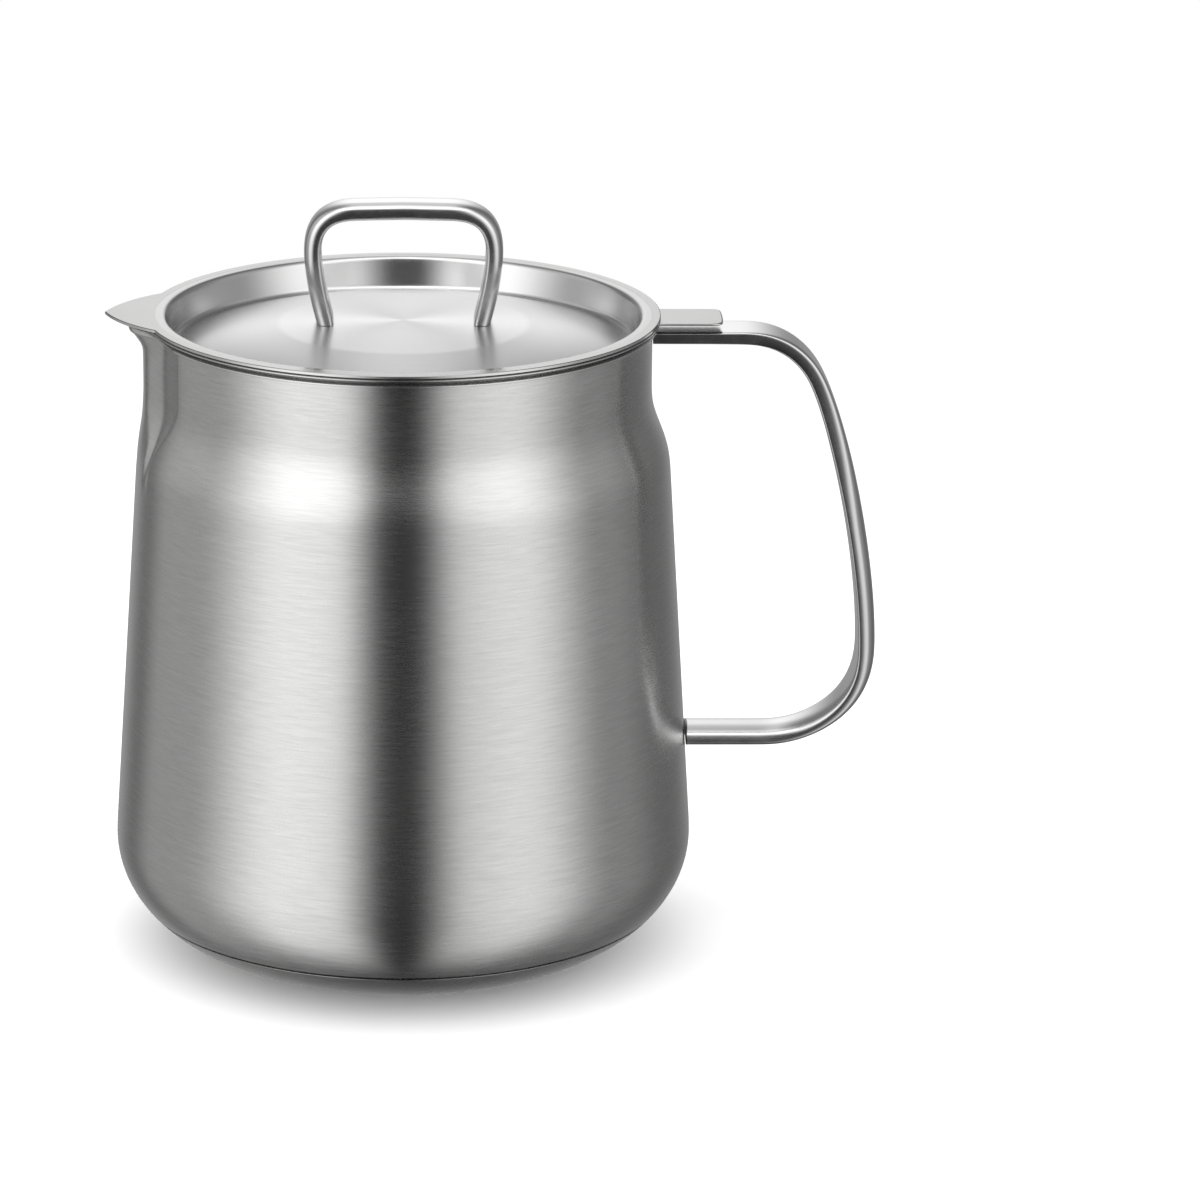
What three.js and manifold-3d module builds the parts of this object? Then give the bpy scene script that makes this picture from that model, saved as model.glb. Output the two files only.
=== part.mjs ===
// Stainless steel pot for keeping frying oil, with a drip dish, a mesh basket and a lid.
// Millimetres, Z up. The origin is on the pot's axis, in the plane that the pot stands on.
// The spout points along -X and the side handle along +X.

import * as THREE from 'three';
import { mergeVertices } from 'three/addons/utils/BufferGeometryUtils.js';
import Module from 'manifold-3d';

// Driving dimensions

// Clearances between pieces
const seatGap = 0.3;
const slipGap = 0.4;
const cutOverrun = 2;

// Pot shell
const potWall = 0.8;
const footRadius = 40;
const bellyRadius = 76.1;
const bellyHeight = 30;
const shoulderRadius = 69.6;
const shoulderHeight = 130.5;
const neckRadius = 64.5;
const neckHeight = 149.5;
const rimHeight = 168.4;
const lipRise = 1.7;
const lipReach = 1.7;

// Pressed spout
const spoutReach = 2.95;
const spoutFlare = 3.6;
const spoutFlareHeight = 9;
const spoutSpread = 8.2;
const spoutHalfWidth = 28;
const spoutFoldTopOffset = 25.6;
const spoutFoldFootOffset = 14.7;
const spoutFoldWidth = 3.1;
const spoutFoldDepth = 0.25;
const spoutFlankShare = 0.45;
const spoutFootHeight = 126;

// Base cap pressed over the pot's bottom
const capWall = 0.8;
const capHeight = 11.7;

// Side handle, a flat bar that thickens towards the grip
const armTopHeight = 165;
const armBottomHeight = 56.3;
const topBendStart = 89;
const topBendEnd = 105.7;
const topBendDrop = 8.8;
const gripReach = 121.8;
const gripHeight = 80;
const gripBow = 3;
const gripUpperShare = 0.11;
const gripLowerShare = 0.36;
const lowBendDropShare = 0.88;
const lowBendReachShare = 0.12;
const bottomBendEnd = 96.6;
const topArmWidth = 13.8;
const topArmThickness = 3.2;
const topArmCorner = 0.6;
const bottomArmWidth = 14;
const bottomArmThickness = 4.8;
const bottomArmCorner = 1.6;
const armThickenShare = 0.33;

// Drip dish
const dishWall = 0.7;
const dishDepth = 31.6;
const dishFloorRadius = 42;
const dishFloorStep = 0.9;
const dishStepWidth = 1.6;
const flangeRadius = 66.5;
const tabReach = 82.6;
const tabWidth = 16;
const tabCorner = 2.6;
const tabRootFillet = 3;

// Lid
const lidWall = 0.7;
const lidRecess = 8.2;
const lidRecessRadius = 59.8;
const lidGutterWidth = 2.2;
const lidDomeRise = 6;
const lidEdgeFillet = 1.1;
const lidDomePower = 3;
const beakReach = 77.1;
const beakRootWidth = 40;
const beakBulgeShare = 0.72;
const beakBulgeWidthShare = 0.61;

// Lid handle, a bent strap
const strapWidth = 11.6;
const strapThickness = 4.5;
const strapCorner = 1;
const strapSpan = 46.9;
const strapFootSpan = 40.6;
const strapRise = 30;
const strapShoulderDrop = 11;
const strapCrown = 0.5;
const strapTopSpan = 24;
const strapLegShare = 0.75;
const strapBendShare = 0.67;

// Basket
const basketLift = 1;
const basketHeight = 129;
const ringWire = 3;
const ringRadius = 48.4;
const collarWall = 0.6;
const collarHeight = 11.5;
const meshWall = 0.8;
const meshTaper = 1.5;
const meshStrand = 1.7;
const meshColumns = 18;
const meshRows = 6;
const bandWall = 0.6;
const bandHeight = 7.6;
const bandBead = 0.7;
const bandShelf = 3.4;
const floorSheet = 0.8;
const floorRim = 3;
const floorCellWidth = 10.5;
const floorCellLength = 16.5;
const floorStrand = 1.7;

// Basket bail
const bailWire = 1.8;
const bailReach = 49.4;
const bailPivotDrop = 7.2;
const bailPinShort = 0.5;
const bailHoleGap = 0.4;
const bailElbow = 1.6;

// Facet counts
const roundSteps = 48;
const spoutSteps = 18;
const backSteps = 31;
const cornerSteps = 6;
const shoulderSteps = 7;
const wireSides = 8;
const ringSides = 8;
const smallRoundSteps = 40;
const barCornerSteps = 3;
const handleCurveSteps = 9;
const bowlSteps = 6;
const domeSteps = 5;
const edgeSteps = 3;
const plateCornerSteps = 8;
const strapLegSteps = 4;
const strapBendSteps = 7;
const elbowSteps = 4;
const bailSideSteps = 12;
const drillSides = 12;

// Places that follow from the sizes above
const flangeTop = rimHeight + seatGap + dishWall;
const lidTop = flangeTop + seatGap + lidWall;
const potInside = neckRadius - potWall;
const dishOutside = potInside - slipGap;
const dishInside = dishOutside - dishWall;
const lidOutside = dishInside - slipGap;
const lidInside = lidOutside - lidWall;
const lidDomeRadius = lidRecessRadius - lidGutterWidth;
const potFloor = capWall + seatGap + potWall;
const basketFoot = potFloor + basketLift;
const ringHeight = basketFoot + basketHeight;
const meshTop = ringHeight - ringWire / 2 - seatGap;
const meshBottom = basketFoot + bandWall + seatGap;
const meshTopRadius = ringRadius - ringWire / 2 - seatGap;
const meshBottomRadius = meshTopRadius - meshTaper;
const collarRadius = meshTopRadius - meshWall - seatGap;
const bandInside = meshBottomRadius + seatGap;
const bailHeight = ringHeight - bailPivotDrop;
const bailPinReach = ringRadius + ringWire / 2 - bailPinShort;
const bailRestRise = bailPivotDrop + ringWire / 2 + seatGap + bailWire / 2;
const bailRestAngle = Math.asin(bailRestRise / bailReach);

const wasm = await Module();
wasm.setup();

// Materials, one for each finish
function steel(color, roughness) {
  return new THREE.MeshStandardMaterial({ color, roughness, metalness: 1 });
}

const brushedSteel = steel(0xb4b4b2, 0.34);
const satinSteel = steel(0xc0c0be, 0.28);
const polishedSteel = steel(0xcfcfcd, 0.12);
const meshSteel = steel(0xbdbdbb, 0.22);
const wireSteel = steel(0xb0b0ae, 0.2);

// Points on a quarter or more of an ellipse, both ends included
function arcPoints(centreX, centreY, radiusX, radiusY, from, to, steps) {
  const curve = new THREE.EllipseCurve(centreX, centreY, radiusX, radiusY, from, to, to < from);
  return curve.getPoints(steps);
}

function point(x, y) {
  return new THREE.Vector2(x, y);
}

// Solid of revolution about Z from a profile of (radius, height) points
function revolve(profile, steps) {
  const geometry = new THREE.LatheGeometry(profile, steps);
  geometry.rotateX(Math.PI / 2);
  return welded(geometry);
}

function welded(geometry) {
  const copy = geometry.clone();
  copy.deleteAttribute('normal');
  copy.deleteAttribute('uv');
  return mergeVertices(copy.index ? copy : mergeVertices(copy));
}

// Passing between a BufferGeometry and a solid that can be cut and joined
function toSolid(geometry) {
  const source = welded(geometry);
  return new wasm.Manifold(new wasm.Mesh({
    numProp: 3,
    vertProperties: new Float32Array(source.attributes.position.array),
    triVerts: new Uint32Array(source.index.array),
  }));
}

function toGeometry(solid) {
  const mesh = solid.getMesh();
  const geometry = new THREE.BufferGeometry();
  geometry.setAttribute('position', new THREE.BufferAttribute(mesh.vertProperties, mesh.numProp));
  geometry.setIndex(new THREE.BufferAttribute(mesh.triVerts, 1));
  return geometry;
}

// A profile moved sideways by a distance that may change along it
function offsetProfile(profile, distanceAt) {
  return profile.map((here, index) => {
    const before = profile[Math.max(index - 1, 0)];
    const after = profile[Math.min(index + 1, profile.length - 1)];
    const along = after.clone().sub(before).normalize();
    const distance = distanceAt(here.y);
    return point(here.x - along.y * distance, here.y + along.x * distance);
  });
}

// The part of a rising profile between two heights, with exact ends
function profileBetween(profile, low, high) {
  const inside = profile.filter((p) => p.y > low && p.y < high);
  return [point(radiusAt(profile, low), low), ...inside, point(radiusAt(profile, high), high)];
}

function radiusAt(profile, height) {
  const next = profile.findIndex((p) => p.y >= height);
  if (next < 0) {
    return profile[profile.length - 1].x;
  }
  if (next === 0) {
    return profile[0].x;
  }
  const above = profile[next];
  const below = profile[next - 1];
  const share = (height - below.y) / (above.y - below.y);
  return THREE.MathUtils.lerp(below.x, above.x, share);
}

// The pot's outer line as it shows, from its flat foot to just under the lip
function potOutline() {
  const cornerReach = bellyRadius - footRadius;
  const down = -Math.PI / 2;
  const outline = arcPoints(footRadius, bellyHeight, cornerReach, bellyHeight, down, 0, cornerSteps);
  outline.push(point(shoulderRadius, shoulderHeight));
  for (let step = 1; step <= shoulderSteps; step += 1) {
    const share = step / shoulderSteps;
    const fall = (1 - Math.cos(Math.PI * share)) / 2;
    outline.push(point(
      THREE.MathUtils.lerp(shoulderRadius, neckRadius, fall),
      THREE.MathUtils.lerp(shoulderHeight, neckHeight, share),
    ));
  }
  outline.push(point(neckRadius, (neckHeight + rimHeight - lipRise) / 2));
  outline.push(point(neckRadius, rimHeight - lipRise));
  return outline;
}

// How far the pressed spout stands out of the round neck, at a height and an angle from -X
function spoutBulge(height, angle) {
  const flareStart = rimHeight - spoutFlareHeight;
  const rise = THREE.MathUtils.smoothstep(height, spoutFootHeight, neckHeight);
  const flare = THREE.MathUtils.smoothstep(height, flareStart, rimHeight);
  const reach = spoutReach * rise + spoutFlare * flare * flare;
  const offset = Math.abs(angle) * neckRadius;
  const nose = Math.exp(-((offset / spoutSpread) ** 2) / 2);
  const foldOffset = THREE.MathUtils.lerp(spoutFoldFootOffset, spoutFoldTopOffset, rise);
  const flank = THREE.MathUtils.smoothstep(offset, foldOffset * spoutFlankShare, foldOffset);
  const back = THREE.MathUtils.smoothstep(offset, foldOffset, foldOffset + spoutFoldWidth);
  return reach * nose - spoutFoldDepth * Math.sqrt(rise) * flank * (1 - back);
}

// Angles from -X at which the pot's wall is drawn, closer together over the spout
function potAngles() {
  const spoutHalf = spoutHalfWidth / neckRadius;
  const angles = [];
  for (let step = 0; step < spoutSteps; step += 1) {
    angles.push(THREE.MathUtils.lerp(-spoutHalf, spoutHalf, step / spoutSteps));
  }
  for (let step = 0; step < backSteps; step += 1) {
    angles.push(THREE.MathUtils.lerp(spoutHalf, 2 * Math.PI - spoutHalf, step / backSteps));
  }
  return angles;
}

// A closed wall drawn round the axis, its radius bulging at the spout
function spoutedRevolve(profile, angles) {
  const positions = [];
  const indices = [];
  const middle = profile.slice(1, -1);
  const columns = angles.length;
  for (const angle of angles) {
    const turn = angle > Math.PI ? angle - 2 * Math.PI : angle;
    for (const p of middle) {
      const radius = p.x + spoutBulge(p.y, turn);
      positions.push(-radius * Math.cos(angle), -radius * Math.sin(angle), p.y);
    }
  }
  const first = positions.length / 3;
  const last = first + 1;
  positions.push(0, 0, profile[0].y);
  positions.push(0, 0, profile[profile.length - 1].y);
  const rows = middle.length;
  for (let column = 0; column < columns; column += 1) {
    const here = column * rows;
    const next = ((column + 1) % columns) * rows;
    indices.push(first, next, here);
    indices.push(last, here + rows - 1, next + rows - 1);
    for (let row = 0; row < rows - 1; row += 1) {
      indices.push(here + row, next + row, next + row + 1);
      indices.push(here + row, next + row + 1, here + row + 1);
    }
  }
  const geometry = new THREE.BufferGeometry();
  geometry.setAttribute('position', new THREE.Float32BufferAttribute(positions, 3));
  geometry.setIndex(indices);
  return geometry;
}

// Pot body: foot sunk into the base cap, flared belly, shoulder, neck and turned-out lip
function potBody() {
  const outline = potOutline();
  const capDepth = capWall + seatGap;
  const stepHeight = capHeight + seatGap;
  const lipBase = rimHeight - lipRise;
  const sunk = offsetProfile(outline, () => capDepth);
  const shown = profileBetween(outline, stepHeight, lipBase);
  const outer = [
    point(0, capDepth),
    point(footRadius, capDepth),
    ...profileBetween(sunk, sunk[1].y, stepHeight),
    ...shown,
    point(neckRadius + lipReach / 4, rimHeight - lipRise / 2),
    point(neckRadius + lipReach, rimHeight - potWall),
    point(neckRadius + lipReach, rimHeight),
  ];
  const inset = offsetProfile(outline, (height) => {
    return potWall + capDepth * (1 - THREE.MathUtils.smoothstep(height, stepHeight, bellyHeight));
  });
  const inner = [
    point(potInside + lipReach / 2, rimHeight),
    point(potInside, rimHeight - lipRise / 2),
    ...profileBetween(inset, potFloor + seatGap, neckHeight).reverse(),
    point(footRadius, potFloor),
    point(0, potFloor),
  ];
  return spoutedRevolve([...outer, ...inner], potAngles());
}

// Base cap: thin bowl pressed over the pot's bottom, flat where the pot stands
function baseCap() {
  const outline = potOutline();
  const inset = offsetProfile(outline, () => capWall);
  const outer = profileBetween(outline, 0, capHeight);
  const inner = profileBetween(inset, inset[1].y, capHeight).reverse();
  return revolve([
    point(0, 0),
    ...outer,
    ...inner,
    point(footRadius, capWall),
    point(0, capWall),
  ], roundSteps);
}

// Section of a bar: width along Y, thickness in the plane of its path, rounded corners
function barSection(width, thickness, corner) {
  const round = Math.min(corner, width / 2, thickness / 2);
  const points = [];
  for (let quarter = 0; quarter < 4; quarter += 1) {
    const signY = quarter === 0 || quarter === 3 ? 1 : -1;
    const signN = quarter < 2 ? 1 : -1;
    const centreY = signY * (width / 2 - round);
    const centreN = signN * (thickness / 2 - round);
    const start = quarter * Math.PI / 2;
    points.push(...arcPoints(centreY, centreN, round, round, start, start + Math.PI / 2, barCornerSteps));
  }
  return points;
}

// A bar swept along a path in the XZ plane; its section may change from end to end
function sweepBar(path, sectionAt, trimEnd) {
  const positions = [];
  const indices = [];
  const last = path.length - 1;
  const sides = sectionAt(0).length;
  path.forEach((here, index) => {
    const before = path[Math.max(index - 1, 0)];
    const after = path[Math.min(index + 1, last)];
    const along = after.clone().sub(before).normalize();
    for (const s of sectionAt(index / last)) {
      const corner = new THREE.Vector3(here.x - along.y * s.y, s.x, here.y + along.x * s.y);
      if (index === 0 || index === last) {
        trimEnd(corner);
      }
      positions.push(corner.x, corner.y, corner.z);
    }
  });
  for (let ring = 0; ring < last; ring += 1) {
    for (let side = 0; side < sides; side += 1) {
      const a = ring * sides + side;
      const b = ring * sides + (side + 1) % sides;
      indices.push(a, b, b + sides, a, b + sides, a + sides);
    }
  }
  for (let side = 1; side < sides - 1; side += 1) {
    indices.push(0, side + 1, side);
    indices.push(last * sides, last * sides + side, last * sides + side + 1);
  }
  const geometry = new THREE.BufferGeometry();
  geometry.setAttribute('position', new THREE.Float32BufferAttribute(positions, 3));
  geometry.setIndex(indices);
  return geometry;
}

// Side handle: top arm, rounded bend, slightly bowed grip, lower bend and lower arm
function sideHandle() {
  const outline = potOutline();
  const topStart = point(neckRadius, armTopHeight);
  const bendStart = point(topBendStart, armTopHeight);
  const bendEnd = point(topBendEnd, armTopHeight - topBendDrop);
  const grip = point(gripReach, gripHeight);
  const lowStart = point(bottomBendEnd, armBottomHeight);
  const lowEnd = point(radiusAt(outline, armBottomHeight), armBottomHeight);
  const gripDrop = bendEnd.y - grip.y;
  const lowDrop = grip.y - armBottomHeight;
  const lowReach = gripReach - bottomBendEnd;
  const upperBend = new THREE.CubicBezierCurve(
    bendStart,
    point((topBendStart + topBendEnd) / 2, armTopHeight),
    point(topBendEnd - gripBow, bendEnd.y + topBendDrop / 2),
    bendEnd,
  );
  const gripCurve = new THREE.CubicBezierCurve(
    bendEnd,
    point(topBendEnd + 2 * gripBow, bendEnd.y - gripDrop * gripUpperShare),
    point(gripReach, grip.y + gripDrop * gripLowerShare),
    grip,
  );
  const lowerBend = new THREE.CubicBezierCurve(
    grip,
    point(gripReach, grip.y - lowDrop * lowBendDropShare),
    point(bottomBendEnd + lowReach * lowBendReachShare, armBottomHeight),
    lowStart,
  );
  const path = [
    topStart,
    ...upperBend.getPoints(handleCurveSteps),
    ...gripCurve.getPoints(handleCurveSteps).slice(1),
    ...lowerBend.getPoints(handleCurveSteps).slice(1),
    lowEnd,
  ];
  const sectionAt = (share) => barSection(
    THREE.MathUtils.lerp(topArmWidth, bottomArmWidth, share),
    THREE.MathUtils.lerp(topArmThickness, bottomArmThickness, Math.min(1, share / armThickenShare)),
    THREE.MathUtils.lerp(topArmCorner, bottomArmCorner, share),
  );
  const meetWall = (corner) => {
    const wall = radiusAt(outline, corner.z) + seatGap;
    corner.x = Math.sqrt(wall * wall - corner.y * corner.y);
  };
  return sweepBar(path, sectionAt, meetWall);
}

// A flat plate of an outline seen from above
function plate(shape, bottom, thickness) {
  const geometry = new THREE.ExtrudeGeometry(shape, {
    depth: thickness,
    bevelEnabled: false,
    curveSegments: plateCornerSteps,
  });
  geometry.translate(0, 0, bottom);
  return geometry;
}

// Drip dish: round bowl with a stepped floor, hung by a flange with a flat tab
function dripDish() {
  const flangeBottom = flangeTop - dishWall;
  const floorTop = flangeTop - dishDepth + dishWall;
  const bowlReach = dishInside - dishFloorRadius - dishStepWidth;
  const bowlCentre = dishFloorRadius + dishStepWidth;
  const bowlFall = flangeTop - lipRise - floorTop;
  const bowlTop = floorTop + bowlFall;
  const inside = arcPoints(bowlCentre, bowlTop, bowlReach, bowlFall, 0, -Math.PI / 2, bowlSteps);
  const outside = offsetProfile([...inside].reverse(), () => -dishWall);
  const bowl = revolve([
    point(0, floorTop - dishWall + dishFloorStep),
    point(dishFloorRadius, floorTop - dishWall + dishFloorStep),
    point(dishFloorRadius + dishStepWidth / 2, floorTop - dishWall),
    ...outside,
    point(dishOutside, flangeBottom - lipRise / 2),
    point(dishOutside + dishWall / 2, flangeBottom),
    point(flangeRadius, flangeBottom),
    point(flangeRadius, flangeTop),
    point(dishInside + dishWall, flangeTop),
    point(dishInside, flangeTop - dishWall),
    ...inside,
    point(dishFloorRadius + dishStepWidth / 2, floorTop),
    point(dishFloorRadius, floorTop + dishFloorStep),
    point(0, floorTop + dishFloorStep),
  ], roundSteps);
  const tab = plate(tabOutline(), flangeBottom, dishWall);
  return toGeometry(toSolid(bowl).add(toSolid(tab)));
}

function tabOutline() {
  const half = tabWidth / 2;
  const root = (flangeRadius + dishOutside + dishWall) / 2;
  const rootHalf = half + tabRootFillet;
  const rimAtFillet = Math.sqrt(flangeRadius ** 2 - rootHalf ** 2);
  const shape = new THREE.Shape();
  shape.moveTo(root, -half);
  shape.lineTo(rimAtFillet, -rootHalf);
  shape.quadraticCurveTo(rimAtFillet + tabRootFillet / 2, -half, flangeRadius + tabRootFillet, -half);
  shape.lineTo(tabReach - tabCorner, -half);
  shape.absarc(tabReach - tabCorner, -half + tabCorner, tabCorner, -Math.PI / 2, 0);
  shape.lineTo(tabReach, half - tabCorner);
  shape.absarc(tabReach - tabCorner, half - tabCorner, tabCorner, 0, Math.PI / 2);
  shape.lineTo(flangeRadius + tabRootFillet, half);
  shape.quadraticCurveTo(rimAtFillet + tabRootFillet / 2, half, rimAtFillet, rootHalf);
  shape.lineTo(root, half);
  shape.closePath();
  return shape;
}

// Height of the lid's domed face above its lowest ring, at a radius
function domeRise(radius) {
  return lidDomeRise * (1 - (radius / lidDomeRadius) ** lidDomePower);
}

// Lid: flange with a flat beak over the spout, recess wall, narrow gutter and domed face
function lidPan() {
  const creaseHeight = lidTop - lidRecess;
  const face = [];
  for (let step = 0; step <= domeSteps; step += 1) {
    const radius = lidDomeRadius * Math.sqrt(step / domeSteps);
    face.push(point(radius, creaseHeight + domeRise(radius)));
  }
  face.push(point(lidRecessRadius, creaseHeight));
  const back = face.map((p) => point(p.x, p.y - lidWall));
  const edge = arcPoints(
    lidInside + lidEdgeFillet, lidTop - lidEdgeFillet,
    lidEdgeFillet, lidEdgeFillet, Math.PI, Math.PI / 2, edgeSteps,
  );
  const flangeBottom = lidTop - lidWall;
  const pan = revolve([
    ...back,
    point(lidRecessRadius + lidWall, creaseHeight),
    point(lidOutside, lidTop - lidRecess / 2),
    point(lidOutside, flangeBottom - lidWall),
    point(lidOutside + lidWall / 2, flangeBottom),
    point(flangeRadius, flangeBottom),
    point(flangeRadius, lidTop),
    ...edge.reverse(),
    point(lidInside, lidTop - lidRecess / 2),
    ...face.reverse(),
  ], roundSteps);
  const beak = plate(beakOutline(), flangeBottom, lidWall);
  return toGeometry(toSolid(pan).add(toSolid(beak)));
}

function beakOutline() {
  const rootHalf = beakRootWidth / 2;
  const bulgeHalf = rootHalf * beakBulgeWidthShare;
  const root = Math.sqrt(flangeRadius ** 2 - rootHalf ** 2);
  const bulge = THREE.MathUtils.lerp(root, beakReach, beakBulgeShare);
  const shape = new THREE.Shape();
  shape.moveTo(-root, rootHalf);
  shape.quadraticCurveTo(-bulge, bulgeHalf, -beakReach, 0);
  shape.quadraticCurveTo(-bulge, -bulgeHalf, -root, -rootHalf);
  shape.closePath();
  return shape;
}

// Lid handle: strap bent into an arch, its feet standing on the lid's face
function lidHandle() {
  const halfFoot = strapFootSpan / 2;
  const halfSpan = strapSpan / 2;
  const halfTop = strapTopSpan / 2;
  const faceHeight = lidTop - lidRecess + domeRise(halfFoot);
  const foot = faceHeight + seatGap;
  const top = faceHeight + strapRise;
  const shoulder = top - strapShoulderDrop;
  const leg = new THREE.QuadraticBezierCurve(
    point(halfFoot, foot),
    point(THREE.MathUtils.lerp(halfFoot, halfSpan, strapLegShare), (foot + shoulder) / 2),
    point(halfSpan, shoulder),
  );
  const bend = new THREE.CubicBezierCurve(
    point(halfSpan, shoulder),
    point(halfSpan, shoulder + strapShoulderDrop * strapBendShare),
    point(THREE.MathUtils.lerp(halfTop, halfSpan, strapBendShare), top - strapCrown / 2),
    point(halfTop, top - strapCrown / 2),
  );
  const side = [...leg.getPoints(strapLegSteps), ...bend.getPoints(strapBendSteps).slice(1)];
  const mirrored = side.map((p) => point(-p.x, p.y));
  const path = [...mirrored, point(0, top), ...side.reverse()];
  const sectionAt = () => barSection(strapWidth, strapThickness, strapCorner);
  const meetFace = (corner) => {
    const radius = Math.hypot(corner.x, corner.y);
    corner.z = lidTop - lidRecess + domeRise(radius) + seatGap;
  };
  return sweepBar(path, sectionAt, meetFace);
}

// Basket rim: a ring of round wire
function basketRing() {
  const wireRadius = ringWire / 2;
  const section = [];
  for (let side = 0; side <= ringSides; side += 1) {
    const angle = 2 * Math.PI * (side % ringSides) / ringSides;
    const out = wireRadius * Math.cos(angle);
    const up = wireRadius * Math.sin(angle);
    section.push(point(ringRadius + out, ringHeight + up));
  }
  return revolve(section, smallRoundSteps);
}

// Basket collar: solid band inside the top of the mesh, pierced for the bail
function basketCollar() {
  const bottom = ringHeight - collarHeight;
  const inside = collarRadius - collarWall;
  const band = revolve([
    point(inside, bottom),
    point(collarRadius, bottom),
    point(collarRadius, ringHeight),
    point(inside, ringHeight),
    point(inside, bottom),
  ], smallRoundSteps);
  const holeRadius = bailWire / 2 + bailHoleGap;
  const drillLength = 2 * (ringRadius + cutOverrun);
  const drill = new THREE.CylinderGeometry(holeRadius, holeRadius, drillLength, drillSides);
  drill.rotateZ(Math.PI / 2);
  drill.translate(0, 0, bailHeight);
  return toGeometry(toSolid(band).subtract(toSolid(drill)));
}

// Places in a diamond lattice: even places are joints of the strands, odd ones are openings
function diamondLattice(columns, rows) {
  const nodes = new Map();
  const corners = [];
  const faces = [];
  const place = (u, v) => {
    corners.push([u, v]);
    return corners.length - 1;
  };
  return { nodes, corners, faces, place, columns: 2 * columns, rows: 2 * rows };
}

// Diamond mesh unrolled: corners in lattice steps, faces as rings of corners, openings as holes
function diamondSheet(columns, rows, shareU, shareV) {
  const sheet = diamondLattice(columns, rows);
  const { place, faces } = sheet;
  const wrap = (u) => ((u % sheet.columns) + sheet.columns) % sheet.columns;
  const edge = { low: [], high: [] };
  for (let u = 0; u < sheet.columns; u += 1) {
    edge.low.push(place(u, 0));
    edge.high.push(place(u, sheet.rows));
  }
  for (let v = 1; v < sheet.rows; v += 1) {
    for (let u = (v + 1) % 2; u < sheet.columns; u += 2) {
      sheet.nodes.set(`${u},${v}`, {
        left: place(u - shareU, v),
        right: place(u + shareU, v),
        bottom: place(u, v - shareV),
        top: place(u, v + shareV),
      });
    }
  }
  const opening = (u, v) => {
    if (v === 0) {
      const here = edge.low[wrap(u)];
      return { left: here, right: here, top: here, bottom: here };
    }
    if (v === sheet.rows) {
      const here = edge.high[wrap(u)];
      return { left: here, right: here, top: here, bottom: here };
    }
    return sheet.nodes.get(`${wrap(u)},${v}`);
  };
  for (let v = 1; v < sheet.rows; v += 1) {
    for (let u = v % 2; u < sheet.columns; u += 2) {
      faces.push([
        opening(u, v - 1).top, opening(u + 1, v).left, opening(u, v + 1).bottom, opening(u - 1, v).right,
      ]);
    }
  }
  for (let v = 0; v < sheet.rows; v += 1) {
    for (let u = v % 2; u < sheet.columns; u += 2) {
      const joint = v === 0 ? edge.low[u] : null;
      const above = opening(u, v + 1);
      const right = opening(u + 1, v);
      const left = opening(u - 1, v);
      const jointRight = wrap(u + 1);
      const jointLeft = wrap(u - 1);
      if (v === 0) {
        faces.push([joint, edge.low[jointRight], above.right, above.bottom]);
        faces.push([edge.low[jointLeft], joint, above.bottom, above.left]);
      } else if (v === sheet.rows - 1) {
        faces.push([right.left, right.top, edge.high[jointRight], edge.high[wrap(u)]]);
        faces.push([left.top, left.right, edge.high[wrap(u)], edge.high[jointLeft]]);
      } else {
        faces.push([right.left, right.top, above.right, above.bottom]);
        faces.push([left.top, left.right, above.bottom, above.left]);
      }
    }
  }
  return { sheet, edge };
}

// Basket wall: expanded diamond mesh rolled into a slightly tapered cylinder
function basketWall() {
  const pitchU = Math.PI * (meshTopRadius + meshBottomRadius) / meshColumns;
  const pitchV = (meshTop - meshBottom) / meshRows;
  const slant = Math.hypot(pitchU, pitchV);
  const shareU = 1 - meshStrand * slant / (pitchU * pitchV);
  const { sheet, edge } = diamondSheet(meshColumns, meshRows, shareU, shareU);
  const count = sheet.corners.length;
  const positions = [];
  for (const inset of [0, meshWall]) {
    for (const [u, v] of sheet.corners) {
      const angle = 2 * Math.PI * u / sheet.columns;
      const share = v / sheet.rows;
      const radius = THREE.MathUtils.lerp(meshBottomRadius, meshTopRadius, share) - inset;
      positions.push(radius * Math.cos(angle), radius * Math.sin(angle));
      positions.push(THREE.MathUtils.lerp(meshBottom, meshTop, share));
    }
  }
  const indices = [];
  const quad = (a, b, c, d) => indices.push(a, b, c, a, c, d);
  for (const [a, b, c, d] of sheet.faces) {
    if (a === b || b === c || c === d || d === a) {
      continue;
    }
    quad(a, b, c, d);
    quad(d + count, c + count, b + count, a + count);
  }
  for (const hole of sheet.nodes.values()) {
    const ring = [hole.bottom, hole.right, hole.top, hole.left];
    ring.forEach((corner, index) => {
      const next = ring[(index + 1) % ring.length];
      quad(corner, next, next + count, corner + count);
    });
  }
  for (let u = 0; u < sheet.columns; u += 1) {
    const next = (u + 1) % sheet.columns;
    quad(edge.low[next], edge.low[u], edge.low[u] + count, edge.low[next] + count);
    quad(edge.high[u], edge.high[next], edge.high[next] + count, edge.high[u] + count);
  }
  const geometry = new THREE.BufferGeometry();
  geometry.setAttribute('position', new THREE.Float32BufferAttribute(positions, 3));
  geometry.setIndex(indices);
  return geometry;
}

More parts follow.
